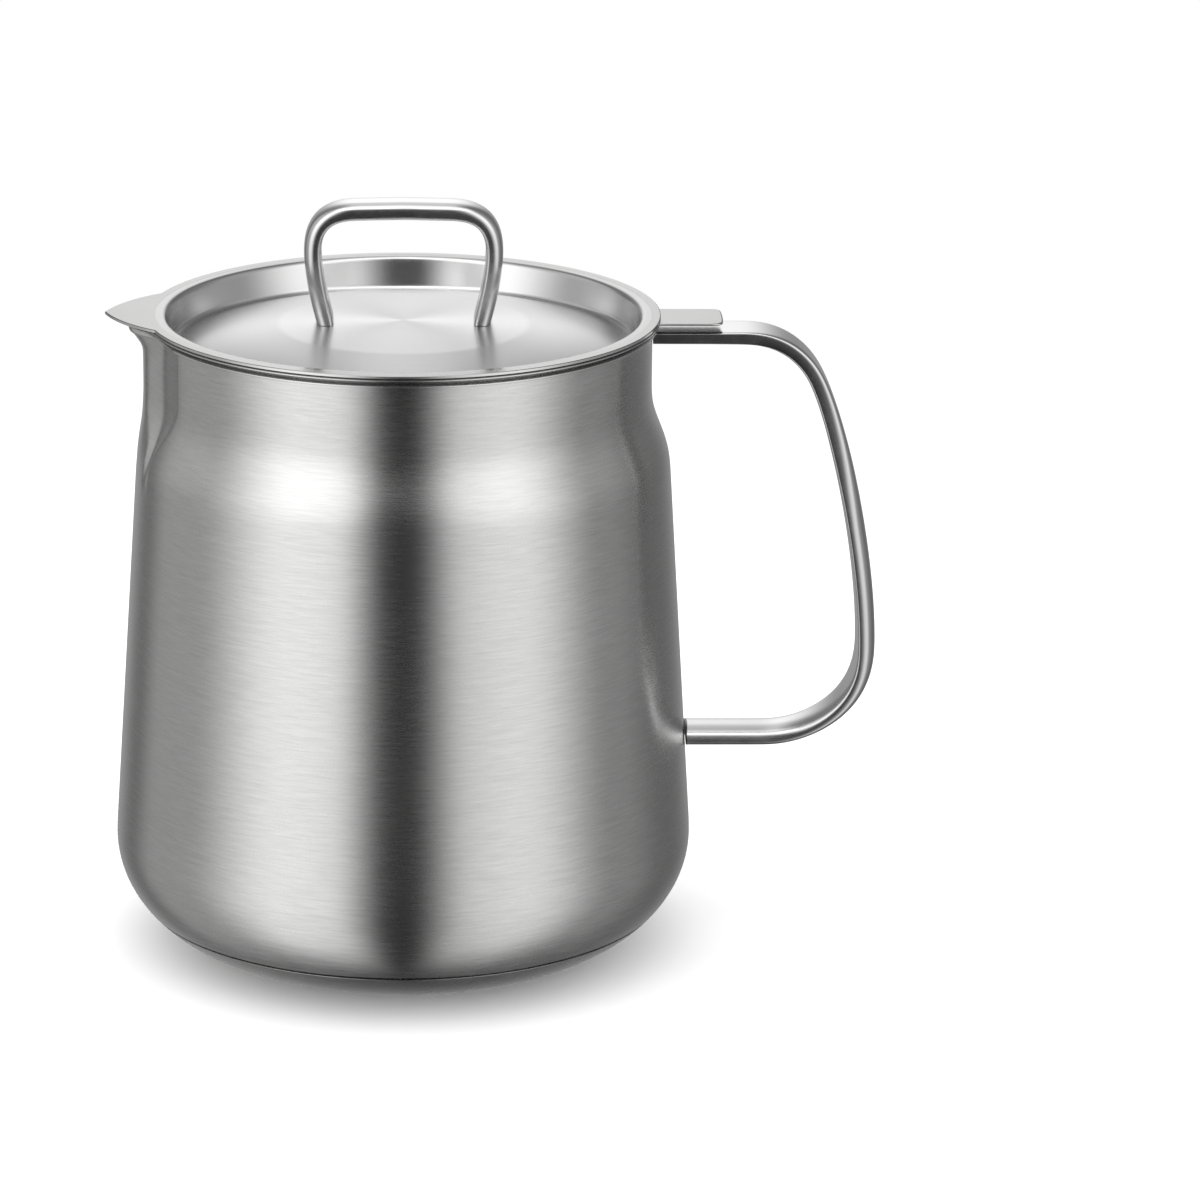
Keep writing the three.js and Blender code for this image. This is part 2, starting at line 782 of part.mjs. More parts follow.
// Basket floor: round diamond-mesh sheet with a plain edge, inside the bottom band
function basketFloor() {
  const radius = meshBottomRadius - meshWall - seatGap;
  const bottom = basketFoot + bandWall + seatGap;
  const shape = new THREE.Shape();
  shape.absarc(0, 0, radius, 0, 2 * Math.PI);
  const slant = Math.hypot(floorCellWidth, floorCellLength);
  const shrink = 1 - floorStrand * slant / (floorCellWidth * floorCellLength);
  const halfWidth = shrink * floorCellWidth / 2;
  const halfLength = shrink * floorCellLength / 2;
  const reach = radius - floorRim;
  const across = Math.ceil(2 * radius / floorCellWidth);
  const along = Math.ceil(2 * radius / floorCellLength);
  for (let row = -along; row <= along; row += 1) {
    for (let column = -across; column <= across; column += 1) {
      const x = column * floorCellWidth / 2;
      const y = row * floorCellLength / 2;
      const widthFits = Math.hypot(Math.abs(x) + halfWidth, y) < reach;
      const lengthFits = Math.hypot(x, Math.abs(y) + halfLength) < reach;
      if ((row + column) % 2 === 0 && widthFits && lengthFits) {
        const hole = new THREE.Path();
        hole.moveTo(x - halfWidth, y);
        hole.lineTo(x, y - halfLength);
        hole.lineTo(x + halfWidth, y);
        hole.lineTo(x, y + halfLength);
        hole.closePath();
        shape.holes.push(hole);
      }
    }
  }
  const geometry = new THREE.ExtrudeGeometry(shape, {
    depth: floorSheet,
    bevelEnabled: false,
    curveSegments: smallRoundSteps,
  });
  geometry.translate(0, 0, bottom);
  return geometry;
}

// Bottom band: rolled strip with two beads and a shelf under the mesh
function bottomBand() {
  const outside = bandInside + bandWall;
  const top = basketFoot + bandHeight;
  const bead = (height) => [
    point(outside, height - bandBead),
    point(outside + bandBead * 3 / 4, height - bandBead / 2),
    point(outside + bandBead * 3 / 4, height + bandBead / 2),
    point(outside, height + bandBead),
  ];
  const shelf = bandInside - bandShelf;
  return revolve([
    point(shelf, basketFoot),
    point(outside, basketFoot),
    ...bead(basketFoot + bandHeight / 5),
    ...bead(basketFoot + bandHeight / 2),
    point(outside, top),
    point(bandInside, top),
    point(bandInside, basketFoot + bandWall),
    point(shelf, basketFoot + bandWall),
    point(shelf, basketFoot),
  ], smallRoundSteps);
}

// Bail: one wire, its ends turned out through the collar, its middle bent to a point.
// Modelled upright about its hinge line, then laid down on the basket's rim.
function basketBail() {
  const legReach = collarRadius - collarWall - seatGap - bailWire;
  const halfShares = [[1, 0.04], [0.985, 0.19], [0.885, 0.41], [0.65, 0.637], [0.27, 0.82]];
  const side = new THREE.SplineCurve(halfShares.map(([x, y]) => point(x * legReach, y * bailReach)));
  const elbowCentre = legReach + bailElbow;
  const turn = [-Math.PI / 2, -Math.PI];
  const elbow = arcPoints(elbowCentre, bailElbow, bailElbow, bailElbow, ...turn, elbowSteps);
  const half = [
    point(bailPinReach, 0),
    ...elbow,
    ...side.getPoints(bailSideSteps),
  ];
  const mirrored = half.map((p) => point(-p.x, p.y));
  const path = [...mirrored, point(0, bailReach), ...half.reverse()];
  const sectionAt = () => {
    const points = [];
    for (let step = 0; step < wireSides; step += 1) {
      const angle = 2 * Math.PI * step / wireSides;
      points.push(point(bailWire / 2 * Math.cos(angle), bailWire / 2 * Math.sin(angle)));
    }
    return points;
  };
  return sweepBar(path, sectionAt, () => {});
}

// Assembly
const potGroup = new THREE.Group();
const basketGroup = new THREE.Group();
const dishGroup = new THREE.Group();
const lidGroup = new THREE.Group();

function addPiece(group, name, geometry, material) {
  const mesh = new THREE.Mesh(geometry, material);
  mesh.name = name;
  group.add(mesh);
  return mesh;
}

addPiece(potGroup, 'pot_body', potBody(), brushedSteel);
addPiece(potGroup, 'base_cap', baseCap(), brushedSteel);
addPiece(potGroup, 'side_handle', sideHandle(), polishedSteel);
addPiece(dishGroup, 'drip_dish', dripDish(), satinSteel);
addPiece(lidGroup, 'lid_pan', lidPan(), satinSteel);
addPiece(lidGroup, 'lid_handle', lidHandle(), polishedSteel);
addPiece(basketGroup, 'basket_rim_ring', basketRing(), wireSteel);
addPiece(basketGroup, 'basket_collar', basketCollar(), satinSteel);
addPiece(basketGroup, 'basket_mesh_wall', basketWall(), meshSteel);
addPiece(basketGroup, 'basket_mesh_floor', basketFloor(), meshSteel);
addPiece(basketGroup, 'basket_bottom_band', bottomBand(), satinSteel);
const bail = addPiece(basketGroup, 'basket_bail', basketBail(), wireSteel);
bail.position.z = bailHeight;
bail.rotation.x = bailRestAngle - Math.PI / 2;

const oilPot = new THREE.Group();
oilPot.add(potGroup, basketGroup, dishGroup, lidGroup);

export default oilPot;
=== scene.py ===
# %% [markdown]
# # Dressing a steel oil pot
# The real object is a kitchen pot for keeping used frying fat. A spouted body stands on a
# pressed base, a drip dish hangs in its mouth with a lid on top, and a mesh basket with a
# wire bail stands inside. The solid model has all twelve pieces at real size. This script
# lays finer surfaces over them, gives each a steel finish, and lights them as in a studio.

import bpy
import numpy as np
from mathutils import Matrix, Vector


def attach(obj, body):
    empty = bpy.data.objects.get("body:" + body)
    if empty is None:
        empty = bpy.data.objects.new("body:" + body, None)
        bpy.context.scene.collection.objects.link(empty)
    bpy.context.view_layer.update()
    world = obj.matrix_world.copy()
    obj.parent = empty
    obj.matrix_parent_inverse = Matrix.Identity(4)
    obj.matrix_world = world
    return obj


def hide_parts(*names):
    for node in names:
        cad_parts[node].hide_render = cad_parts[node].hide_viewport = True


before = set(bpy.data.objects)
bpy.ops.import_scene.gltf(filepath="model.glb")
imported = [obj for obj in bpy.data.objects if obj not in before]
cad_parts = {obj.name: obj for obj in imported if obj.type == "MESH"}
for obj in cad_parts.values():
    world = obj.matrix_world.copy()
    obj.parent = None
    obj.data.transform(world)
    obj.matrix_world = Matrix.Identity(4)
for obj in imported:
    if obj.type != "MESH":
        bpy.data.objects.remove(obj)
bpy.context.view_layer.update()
scene = bpy.context.scene
MM = 0.001

# %% [markdown]
# ## Camera
# The photograph looks down on the pot by about seventeen degrees through a long lens, so
# upright lines stay nearly parallel. The pot stands left of the middle, because the basket
# and the dish are shown beside it. The camera could be shifted sideways, but turning it a
# little to the right keeps every other view centred, so it is turned.

# %% Camera at the photograph's angle
CAMERA_DROP = np.radians(17.08)
CAMERA_DISTANCE = 1.5
AIM_HEIGHT = 85 * MM
SENSOR_WIDTH = 36
LENS_PIXELS = 5700.0
FRAME_PIXELS = 1200
POT_ACROSS, POT_DOWN = 403.7, 627.3

ahead = np.array([0, np.cos(CAMERA_DROP), -np.sin(CAMERA_DROP)])
above = np.array([0, np.sin(CAMERA_DROP), np.cos(CAMERA_DROP)])
across = np.array([1.0, 0, 0])
half_frame = FRAME_PIXELS / 2
turn_right = (half_frame - POT_ACROSS) / LENS_PIXELS
turn_down = (half_frame - POT_DOWN) / LENS_PIXELS
look = ahead + across * turn_right - above * turn_down
look /= np.linalg.norm(look)
sideways = across - look * (across @ look)
sideways /= np.linalg.norm(sideways)
upward = np.cross(sideways, look)

lens = bpy.data.cameras.new("studio_camera")
lens.sensor_width = SENSOR_WIDTH
lens.lens = SENSOR_WIDTH * LENS_PIXELS / FRAME_PIXELS
lens.clip_start = 0.05
lens.clip_end = 50
camera = bpy.data.objects.new("studio_camera", lens)
camera.location = np.array([0, 0, AIM_HEIGHT]) - ahead * CAMERA_DISTANCE
camera.rotation_euler = Matrix(np.stack([sideways, upward, -look], 1).tolist()).to_euler()
scene.collection.objects.link(camera)
scene.camera = camera
scene.view_settings.view_transform = "Standard"
print("lens in millimetres:", lens.lens, "camera at", np.round(camera.location, 3).tolist())

# %% [markdown]
# ## Writing finishes as sums
# A finish is a tree of nodes. Wiring each Math node by hand hides what is being worked out,
# so one small class wraps a socket: adding or multiplying it adds the node. Every other node
# comes from one method that takes its type, its settings and what goes into its sockets.


# %% A socket that does arithmetic, and the tree that it belongs to
class Reading:
    """One output of a node tree. Plus, minus, times and divide on it add Math nodes."""

    def __init__(self, tree, socket):
        self.tree, self.socket = tree, socket

    def other(self, name):
        """Another output of the same node."""
        return Reading(self.tree, self.socket.node.outputs[name])

    def math(self, operation, first, second=0.0):
        return self.tree.node("Math", {0: first, 1: second}, operation=operation)

    def __add__(self, right):
        return self.math("ADD", self, right)

    def __radd__(self, left):
        return self.math("ADD", left, self)

    def __sub__(self, right):
        return self.math("SUBTRACT", self, right)

    def __rsub__(self, left):
        return self.math("SUBTRACT", left, self)

    def __mul__(self, right):
        return self.math("MULTIPLY", self, right)

    def __rmul__(self, left):
        return self.math("MULTIPLY", left, self)

    def __truediv__(self, right):
        return self.math("DIVIDE", self, right)

    def size(self):
        return self.math("ABSOLUTE", self)

    def root(self):
        return self.math("SQRT", self)

    def rise(self, start, end):
        """0 before start, 1 after end and an even S between them; start may be the larger."""
        sockets = {"Value": self, "From Min": start, "From Max": end}
        return self.tree.node("MapRange", sockets, interpolation_type="SMOOTHSTEP")


class Finish:
    """A node tree of a material or a world, with one method that adds any node."""

    def __init__(self, owner):
        owner.use_nodes = True
        self.nodes = owner.node_tree.nodes
        self.links = owner.node_tree.links
        self.nodes.clear()

    def node(self, kind, sockets=None, out=0, **settings):
        """Adds a node: its settings are made first, then its sockets' values or links."""
        made = self.nodes.new("ShaderNode" + kind)
        for name, value in settings.items():
            setattr(made, name, value)
        for name, value in (sockets or {}).items():
            if isinstance(value, Reading):
                self.links.new(value.socket, made.inputs[name])
            else:
                made.inputs[name].default_value = value
        return Reading(self, made.outputs[out]) if made.outputs else made

    def place(self):
        """Where a point is on the object, as three readings in metres."""
        spot = self.node("TexCoord", out="Object")
        x = self.node("SeparateXYZ", {0: spot})
        return x, x.other("Y"), x.other("Z")

    def vector(self, x, y, z):
        return self.node("CombineXYZ", {0: x, 1: y, 2: z})

    def speckle(self, at, scale, detail=2.0, roughness=0.5):
        """Even noise between 0 and 1 at a place, with its cell size set by scale."""
        sockets = {"Vector": at, "Scale": scale, "Detail": detail, "Roughness": roughness}
        return self.node("TexNoise", sockets)

    def blend(self, share, first, second):
        """A colour between two others, which are sockets 6 and 7 of a Mix node."""
        sockets = {"Factor": share, 6: first, 7: second}
        return self.node("Mix", sockets, out=2, data_type="RGBA")


# %% [markdown]
# ## Shapes from profiles
# A pot, a dish, a lid and a ring are each one profile carried round the axis. The profile is
# a short list of corners, and each corner has the radius that the press tool gave it. A Screw
# modifier could turn it, but points that are worked out here can also bulge into a spout.


# %% Points made into a mesh, and a finish put on it
def paint(piece, finish):
    piece.data.materials.clear()
    piece.data.materials.append(finish)


def mesh_piece(name, points, faces, crease=40.0):
    """Points in millimetres and rows of corner numbers, made into one smooth object.

    Edges that fold by more than the crease angle, in degrees, are drawn sharp. The volume
    that it prints is the sum of a·(b×c)/6 over its triangles, above zero when faces point out.
    """
    mesh = bpy.data.meshes.new(name)
    points = np.asarray(points, float) * MM
    mesh.from_pydata(points.tolist(), [], [row for part in faces for row in part.tolist()])
    mesh.polygons.foreach_set("use_smooth", np.ones(len(mesh.polygons), bool))
    mesh.update()
    mesh.set_sharp_from_angle(angle=np.radians(crease))
    piece = bpy.data.objects.new(name, mesh)
    scene.collection.objects.link(piece)
    volume = 0.0
    for part in faces:
        for far in range(2, part.shape[1]):
            a, b, c = points[part[:, 0]], points[part[:, far - 1]], points[part[:, far]]
            volume += (a * np.cross(b, c)).sum() / 6
    print(f"{name}: {len(mesh.polygons)} faces, {volume * 1e6:.2f} cm3")
    return piece


# %% Rounded profiles
def rounded(corners, arc_steps=5):
    """Corners (across, up, radius) to a line of points: a corner becomes an arc of its radius.

    The arc starts radius·tan(turn/2) before the corner, at most 45% of the shorter edge.
    """
    line = []
    spots = np.array([corner[:2] for corner in corners], float)
    for number, (here, radius) in enumerate(zip(spots, [corner[2] for corner in corners])):
        if radius == 0 or number in (0, len(spots) - 1):
            line.append(here)
            continue
        back, on = spots[number - 1] - here, spots[number + 1] - here
        back_long, on_long = np.hypot(*back), np.hypot(*on)
        back, on = back / back_long, on / on_long
        half = np.arccos(np.clip(-back @ on, -1, 1)) / 2
        reach = min(radius * np.tan(half), 0.45 * back_long, 0.45 * on_long)
        share = np.linspace(0, 1, arc_steps + 1)[:, None]
        start, end = here + back * reach, here + on * reach
        line.extend(start * (1 - share) ** 2 + 2 * here * share * (1 - share) + end * share**2)
    return np.array(line)


def run_along(line):
    """How far along a line each of its points lies."""
    return np.concatenate([[0], np.cumsum(np.hypot(*np.diff(line, axis=0).T))])


def resampled(line, count):
    """So many points, evenly spaced along a line."""
    run = run_along(line)
    even = np.linspace(0, run[-1], count)
    return np.stack([np.interp(even, run, line[:, axis]) for axis in range(2)], -1)


def softened(line, spread, step=0.5):
    """A line resampled at an even step and smoothed by a bell curve; its ends stay put."""
    full = resampled(line, int(run_along(line)[-1] / step) + 2)
    reach = int(4 * spread / step)
    bell = np.exp(-0.5 * (np.arange(-reach, reach + 1) * step / spread) ** 2)
    before = 2 * full[0] - full[reach:0:-1]
    beyond = 2 * full[-1] - full[-2:-reach - 2:-1]
    padded = np.vstack([before, full, beyond])
    return np.stack([np.convolve(padded[:, axis], bell / bell.sum(), "valid")
                     for axis in range(2)], -1)


def offset(line, distance):
    """A line moved to its left by a distance, which may be an array along it."""
    along = np.gradient(line, axis=0)
    along /= np.maximum(np.hypot(*along.T), 1e-9)[:, None]
    left = np.stack([-along[:, 1], along[:, 0]], -1)
    return line + left * np.broadcast_to(distance, len(line))[:, None]


# %% A profile carried round the axis
def circle(count):
    """So many angles, evenly round."""
    return np.linspace(0, 2 * np.pi, count, endpoint=False)


def wrapped(angle):
    """An angle brought to between −π and π."""
    return (angle + np.pi) % (2 * np.pi) - np.pi


def end_fans(rows, columns):
    """Triangles that close a grid's first and last row round two points that follow it."""
    here = np.arange(columns)
    on, last, tip = (here + 1) % columns, (rows - 1) * columns, rows * columns
    first_fan = [np.full(columns, tip), on, here]
    last_fan = [np.full(columns, tip + 1), last + here, last + on]
    return [np.stack(first_fan, -1), np.stack(last_fan, -1)]


def grid_faces(rows, columns, closed_rows):
    """Corner numbers of a grid whose columns join round, and whose rows do if asked."""
    row = np.arange(rows if closed_rows else rows - 1)[:, None]
    column = np.arange(columns)[None, :]
    up, on = (row + 1) % rows, (column + 1) % columns
    corners = [row * columns + column, row * columns + on, up * columns + on,
               up * columns + column]
    return np.stack(np.broadcast_arrays(*corners), -1).reshape(-1, 4)


def spun(name, profile, angle, bulge=0.0):
    """The point at (profile r, z; angle a) is ((r + bulge) cos a, (r + bulge) sin a, z).

    A profile that starts and ends on the axis is closed by a fan at each end, any other one
    is a ring whose last row joins its first. It runs up its outer side, so faces point out.
    """
    count = len(angle)
    poled = profile[0][0] < 1e-6
    middle = profile[1:-1] if poled else profile
    height = np.repeat(middle[:, 1:], count, 1)
    out = np.broadcast_to(bulge, (len(profile), count))
    radius = middle[:, :1] + (out[1:-1] if poled else out)
    points = np.stack([radius * np.cos(angle), radius * np.sin(angle), height], -1)
    points = points.reshape(-1, 3)
    faces = [grid_faces(len(middle), count, not poled)]
    if poled:
        points = np.vstack([points, [[0, 0, profile[0][1]], [0, 0, profile[-1][1]]]])
        faces += end_fans(len(middle), count)
    return mesh_piece(name, points, faces)


# %% [markdown]
# ## Studio
# Metal has no colour of its own to speak of: it shows the room. The photograph's pot shows a
# narrow dark card straight ahead, a tall soft light on each side of it, and greyer walls
# beyond, with one light overhead. Lamps could make these, but a soft wall whose glow follows
# the angle is smoother. The wall is seen in reflections only. The floor and the air are white
# to the camera, and the floor keeps the pot's soft shadow.

# %% Air: white where it is seen, a plain fill for the floor
FILL_LIGHT = 1.5

air = bpy.data.worlds.new("studio_air")
scene.world = air
tree = Finish(air)
ray = tree.node("LightPath", out="Is Camera Ray")
seen = ray.math("MAXIMUM", ray, ray.other("Is Glossy Ray"))
seen = ray.math("MAXIMUM", seen, ray.other("Is Transmission Ray"))
glow = FILL_LIGHT + seen * (1 - FILL_LIGHT)
light = tree.node("Background", {"Color": (1, 1, 1, 1), "Strength": glow})
tree.node("OutputWorld", {"Surface": light})
print("air: white where seen, fill", FILL_LIGHT)

# %% [markdown]
# The floor and the soft wall are stage pieces. The wall's glow is a product of plain parts:
# a level for each side, a tall light near fifty degrees on each side, the dark card ahead,
# and a slow change from the floor up to the ceiling. A second light stands behind the pot,
# high up, for the lid to show.

# %% Floor: white far away, shaded by the pot close by
FLOOR_REACH = 6000
FLOOR_FADE = (0.22, 0.75)

corners = np.array([[-1, -1, 0], [1, -1, 0], [1, 1, 0], [-1, 1, 0]]) * FLOOR_REACH
floor = mesh_piece("studio_floor", corners, [np.array([[0, 1, 2, 3]])])
floor.visible_glossy = False
chalk = bpy.data.materials.new("white_table")
tree = Finish(chalk)
x, y, z = tree.place()
far = (x * x + y * y).root().rise(*FLOOR_FADE)
matt = tree.node("BsdfDiffuse", {"Color": (0.93, 0.93, 0.93, 1)})
white = tree.node("Emission", {"Color": (1, 1, 1, 1), "Strength": 1.0})
camera_ray = tree.node("LightPath", out="Is Camera Ray")
floor_mix = tree.node("MixShader", {0: far * camera_ray, 1: matt, 2: white})
tree.node("OutputMaterial", {"Surface": floor_mix})
paint(floor, chalk)

# %% Soft wall: a ball of light and shade that only reflections see
WALL_REACH = 3000

climb = np.linspace(-np.pi / 2, np.pi / 2, 33)
wall_profile = np.stack([np.cos(climb), np.sin(climb)], -1) * WALL_REACH
soft_wall = spun("studio_soft_wall", wall_profile, circle(64))
for ray in ("camera", "diffuse", "transmission", "volume_scatter", "shadow"):
    setattr(soft_wall, "visible_" + ray, False)

wall_glow = bpy.data.materials.new("soft_wall_glow")
tree = Finish(wall_glow)
x, y, z = tree.place()
reach = (x * x + y * y + z * z).root()
lift = (z / reach).math("ARCSINE", z / reach) * np.degrees(1)
turn = x.math("ARCTAN2", x, y * -1.0) * np.degrees(1)
off = turn.size()
right = turn.rise(-8, 8)


def stepped(base, *steps):
    """A level that changes by some amount between two angles off the front, at each step."""
    for start, end, change in steps:
        base = base + off.rise(start, end) * change
    return base


def tall_light(outer, inner, dip, level):
    """A light from an outer angle to fifty degrees, that dips towards the front."""
    return off.rise(outer, 50) * (1 - off.rise(inner, 0) * dip) * level


left_level = stepped(0.42, (119, 138, -0.27), (142, 160, 0.08))
right_level = stepped(0.32, (96, 126, -0.14), (126, 150, -0.05), (150, 176, 0.07))
level = left_level * (1 - right) + right_level * right
lights = tall_light(94, 48, 0.5, 0.80) * (1 - right) + tall_light(90, 49, 0.65, 0.74) * right
card = 1 - (turn + 1.5).size().rise(27, 5) * 0.97 * lift.rise(68, 46)
upright = 0.16 + lift.rise(-88, -40) * 0.72 + lift.rise(-20, 30) * 0.52
behind = off.rise(158, 180) * lift.rise(-8, 20) * (1 - lift.rise(26, 38) * 0.5) * 1.18
zenith = lift.rise(60, 80)
back_low = off.rise(128, 168) * lift.rise(14, -6) * lift.rise(-60, -30) * 0.19
glow = (level + lights) * card * upright + behind + back_low + zenith
shine = tree.node("Emission", {"Color": (1, 1, 1, 1), "Strength": glow})
tree.node("OutputMaterial", {"Surface": shine})
paint(soft_wall, wall_glow)

# %% One broad lamp over the table, for the floor's soft shadow
LAMP_PLACE = Vector((-0.25, -0.35, 1.7))

lamp_data = bpy.data.lights.new("table_lamp", "AREA")
lamp_data.shape = "DISK"
lamp_data.size = 1.6
lamp_data.energy = 4
lamp = bpy.data.objects.new("table_lamp", lamp_data)
lamp.location = LAMP_PLACE
lamp.rotation_euler = (-LAMP_PLACE).to_track_quat("-Z", "Y").to_euler()
lamp.visible_glossy = False
scene.collection.objects.link(lamp)
print("lamp:", lamp_data.energy, "watts, aimed at the pot's foot")

# %% [markdown]
# ## Steel finishes
# Every piece is stainless steel, and only the way it was worked differs. The body was
# brushed while it turned, so its grain runs round the pot and stretches each reflection up
# and down. The lid and the dish were turned too, so theirs is in rings. Handles and wires
# were polished after bending. The grain could be a picture, but noise that is stretched
# round the axis has no seam and keeps its true size: strokes half a millimetre across, and
# some eight millimetres long on the body or four centimetres on the lid.


# %% Grain that runs round the axis
def ring_grain(tree, fine, strokes):
    """Noise stretched round Z, so that each streak runs round the pot.

    Its place is (strokes·cos a, strokes·sin a, fine·(height − 0.6·radius)): the more strokes,
    the shorter each is, and the larger fine, the thinner.
    """
    x, y, z = tree.place()
    radius = (x * x + y * y).root() + 1e-5
    along = z - radius * 0.6
    at = tree.vector(x / radius * strokes, y / radius * strokes, along * fine)
    return tree.speckle(at, 1.0, 3.0, 0.62), tree.vector(x, y, z)


def tinted(tree, tint, shade):
    """A tint at half its level where the shade is 0, full at 1 and half as bright again at 2."""
    dark = tuple(level * 0.5 for level in tint) + (1,)
    bright = tuple(min(level * 1.5, 1) for level in tint) + (1,)
    return tree.blend(shade * 0.5, dark, bright)


def metal_out(tree, colour, dull, grain, bump, **turned):
    """Closes a finish: metal of a colour and a dullness, with its grain as faint relief."""
    relief = tree.node("Bump", {"Height": grain, "Strength": bump, "Distance": 0.1 * MM})
    sockets = {"Base Color": colour, "Metallic": 1.0, "Roughness": dull, "Normal": relief}
    metal = tree.node("BsdfPrincipled", {**sockets, **turned})
    tree.node("OutputMaterial", {"Surface": metal})


RIM_TINT = (0.42, 0.42, 0.417, 1)
# Tint of the painted highlight on a flange's upright cut edge.
PAINTED_EDGE_HIGHLIGHT_TINT = (0.78, 0.78, 0.775, 1)
# Tint of the painted shade under a flange.
PAINTED_UNDER_SHADE_TINT = (0.10, 0.10, 0.10, 1)


def steel(name, tint, polish, grain, drift, fine=2600.0, stretch=0.0, bump=0.0, under=None,
          drawn=None, strokes=1.5):
    """Steel with ring grain: the grain and a slow drift change its tint and its polish.

    With under, it is a flange: its upright cut edge gets a painted highlight, and below that
    height it has painted shade, the shade that falls under the flange. The radii drawn are where
    a wall that the press left smoother starts, and where the flange's own tint does. Both are in
    millimetres.
    """
    made = bpy.data.materials.new(name)
    tree = Finish(made)
    rings, spot = ring_grain(tree, fine, strokes)
    slow = tree.speckle(spot, 22.0, 3.0)
    shade = 1 + (rings - 0.5) * grain + (slow - 0.5) * drift
    colour = tinted(tree, tint, shade)
    dull = polish + (rings - 0.5) * grain * 0.1 + (slow - 0.5) * 0.08
    if drawn:
        x, y, z = tree.place()
        radius = (x * x + y * y).root()
        dull = dull - radius.rise(drawn[0] * MM, (drawn[0] + 1) * MM) * 0.12
        flange_share = radius.rise(drawn[1] * MM, (drawn[1] + 1.2) * MM)
        colour = tree.blend(flange_share, colour, RIM_TINT)
    if under:
        facing = tree.node("SeparateXYZ", {0: tree.node("TexCoord", out="Normal")}).other("Z")
        # Painted highlight: upright faces, the cut edge, take a brighter tint than the flat top.
        colour = tree.blend(facing.size().rise(0.7, 0.3), colour, PAINTED_EDGE_HIGHLIGHT_TINT)
        # Painted shade: below the height under, the flange is nearly black, as the shade beneath
        # it.
        back = tree.place()[2].rise(under * MM, (under - 0.05) * MM)
        colour = tree.blend(back, colour, PAINTED_UNDER_SHADE_TINT)
    turned = {"Anisotropic": stretch, "Anisotropic Rotation": 0.25}
    metal_out(tree, colour, dull, rings, bump, **turned)
    return made


brushed_steel = steel("brushed_body_steel", (0.66, 0.66, 0.655), 0.27, 0.70, 0.06,
                      fine=2000.0, stretch=0.75, strokes=9.0)
turned_steel = steel("turned_lid_steel", (0.76, 0.76, 0.755), 0.32, 0.13, 0.03,
                     fine=2800.0, stretch=0.8, bump=0.02, drawn=(57.3, 61.4))
# Below 168.8 mm the rim finish has painted shade, and its upright edges have a painted highlight.
rim_steel = steel("satin_rim_steel", RIM_TINT[:3], 0.25, 0.05, 0.05, bump=0.02,
                  under=168.8)
strip_steel = steel("bright_strip_steel", (0.76, 0.76, 0.755), 0.11, 0.08, 0.05, bump=0.02)
mesh_steel = steel("expanded_mesh_steel", (0.92, 0.92, 0.915), 0.36, 0.12, 0.08, bump=0.04)
print("steel finishes:", [finish.name for finish in bpy.data.materials if "steel" in finish.name])


# %% [markdown]
# Handles and wires were rubbed along their length instead, and bright enough to show edges
# of light. Their grain is plain fine noise, because its direction can't be seen at this size.


# %% Polished bar and wire
# Tint of the painted shade in the recess at a weld.
WELD_SHADE_TINT = (0.03, 0.03, 0.03, 1)


def polished(name, tint, polish, scratch, joint=None):
    """Bright steel: fine noise makes faint scratches, a slow noise the marks of handling.

    Low on the pot, out to the radius joint in millimetres, it has painted shade: the shade in
    the recess of the seam at a weld. Such a bar is also smoother high up, where it is flat.
    """
    made = bpy.data.materials.new(name)
    tree = Finish(made)
    x, y, z = tree.place()
    fine = tree.speckle(tree.vector(x * 0.3, y * 4, z * 0.3), 900.0, 3.0, 0.6)
    slow = tree.speckle(tree.vector(x, y, z), 45.0, 3.0)
    shade = 1 + (fine - 0.5) * scratch + (slow - 0.5) * 0.10
    colour = tinted(tree, tint, shade)
    dull = polish + (fine - 0.5) * scratch * 0.4 + (slow - 0.5) * 0.06
    if joint:
        radius = (x * x + y * y).root()
        # Painted shade: nearly black out to the weld's radius, low on the pot.
        seam = radius.rise((joint + 0.3) * MM, joint * MM) * z.rise(70 * MM, 68 * MM)
        colour = tree.blend(seam, colour, WELD_SHADE_TINT)
        dull = dull - z.rise(140 * MM, 163 * MM) * 0.07
    metal_out(tree, colour, dull, fine, 0.04)
    return made


strap_steel = polished("polished_strap_steel", (0.74, 0.74, 0.735), 0.20, 0.20)
# The bar has painted shade at its lower weld.
bar_steel = polished("polished_bar_steel", (0.70, 0.70, 0.695), 0.24, 0.20, joint=74.8)
wire_steel = polished("drawn_wire_steel", (0.70, 0.70, 0.695), 0.18, 0.16)
print("polished finishes: strap, bar and wire")

# %% [markdown]
# ## Pot body
# The body is one drawn sheet: a flat foot, an upright rounded corner, a belly that leans in
# as it rises, a soft shoulder, a straight neck and a lip that turns out. A spout is pressed
# into the neck at the left. It could be cut from the round wall and welded on, but on the
# real pot it is the wall itself, pushed out by a smooth hump with a shallow fold on each
# side, so here it is a bulge added to the radius.

# %% Sizes of the pot, the same as in the solid model
ROUND = circle(216)
GAP = 0.3
WALL = 0.8
FOOT_R, BELLY_R, BELLY_Z = 40, 76.0, 30
SHOULDER_R, SHOULDER_Z = 69.6, 130.5
NECK_R, NECK_Z, RIM_Z = 64.5, 149.5, 168.4
LIP_RISE = 1.7
CAP_Z = 11.7
SPOUT = {"reach": 2.95, "flare": 3.6, "flare_high": 9, "spread": 14.2, "foot": 131}
FOLD = {"top": 30.5, "foot": 20.8, "width": (2.4, 12), "flank": (2.5, 12),
        "slant": (136, 153), "start": (126, 140), "inside": 0.28, "outside": 0.88}


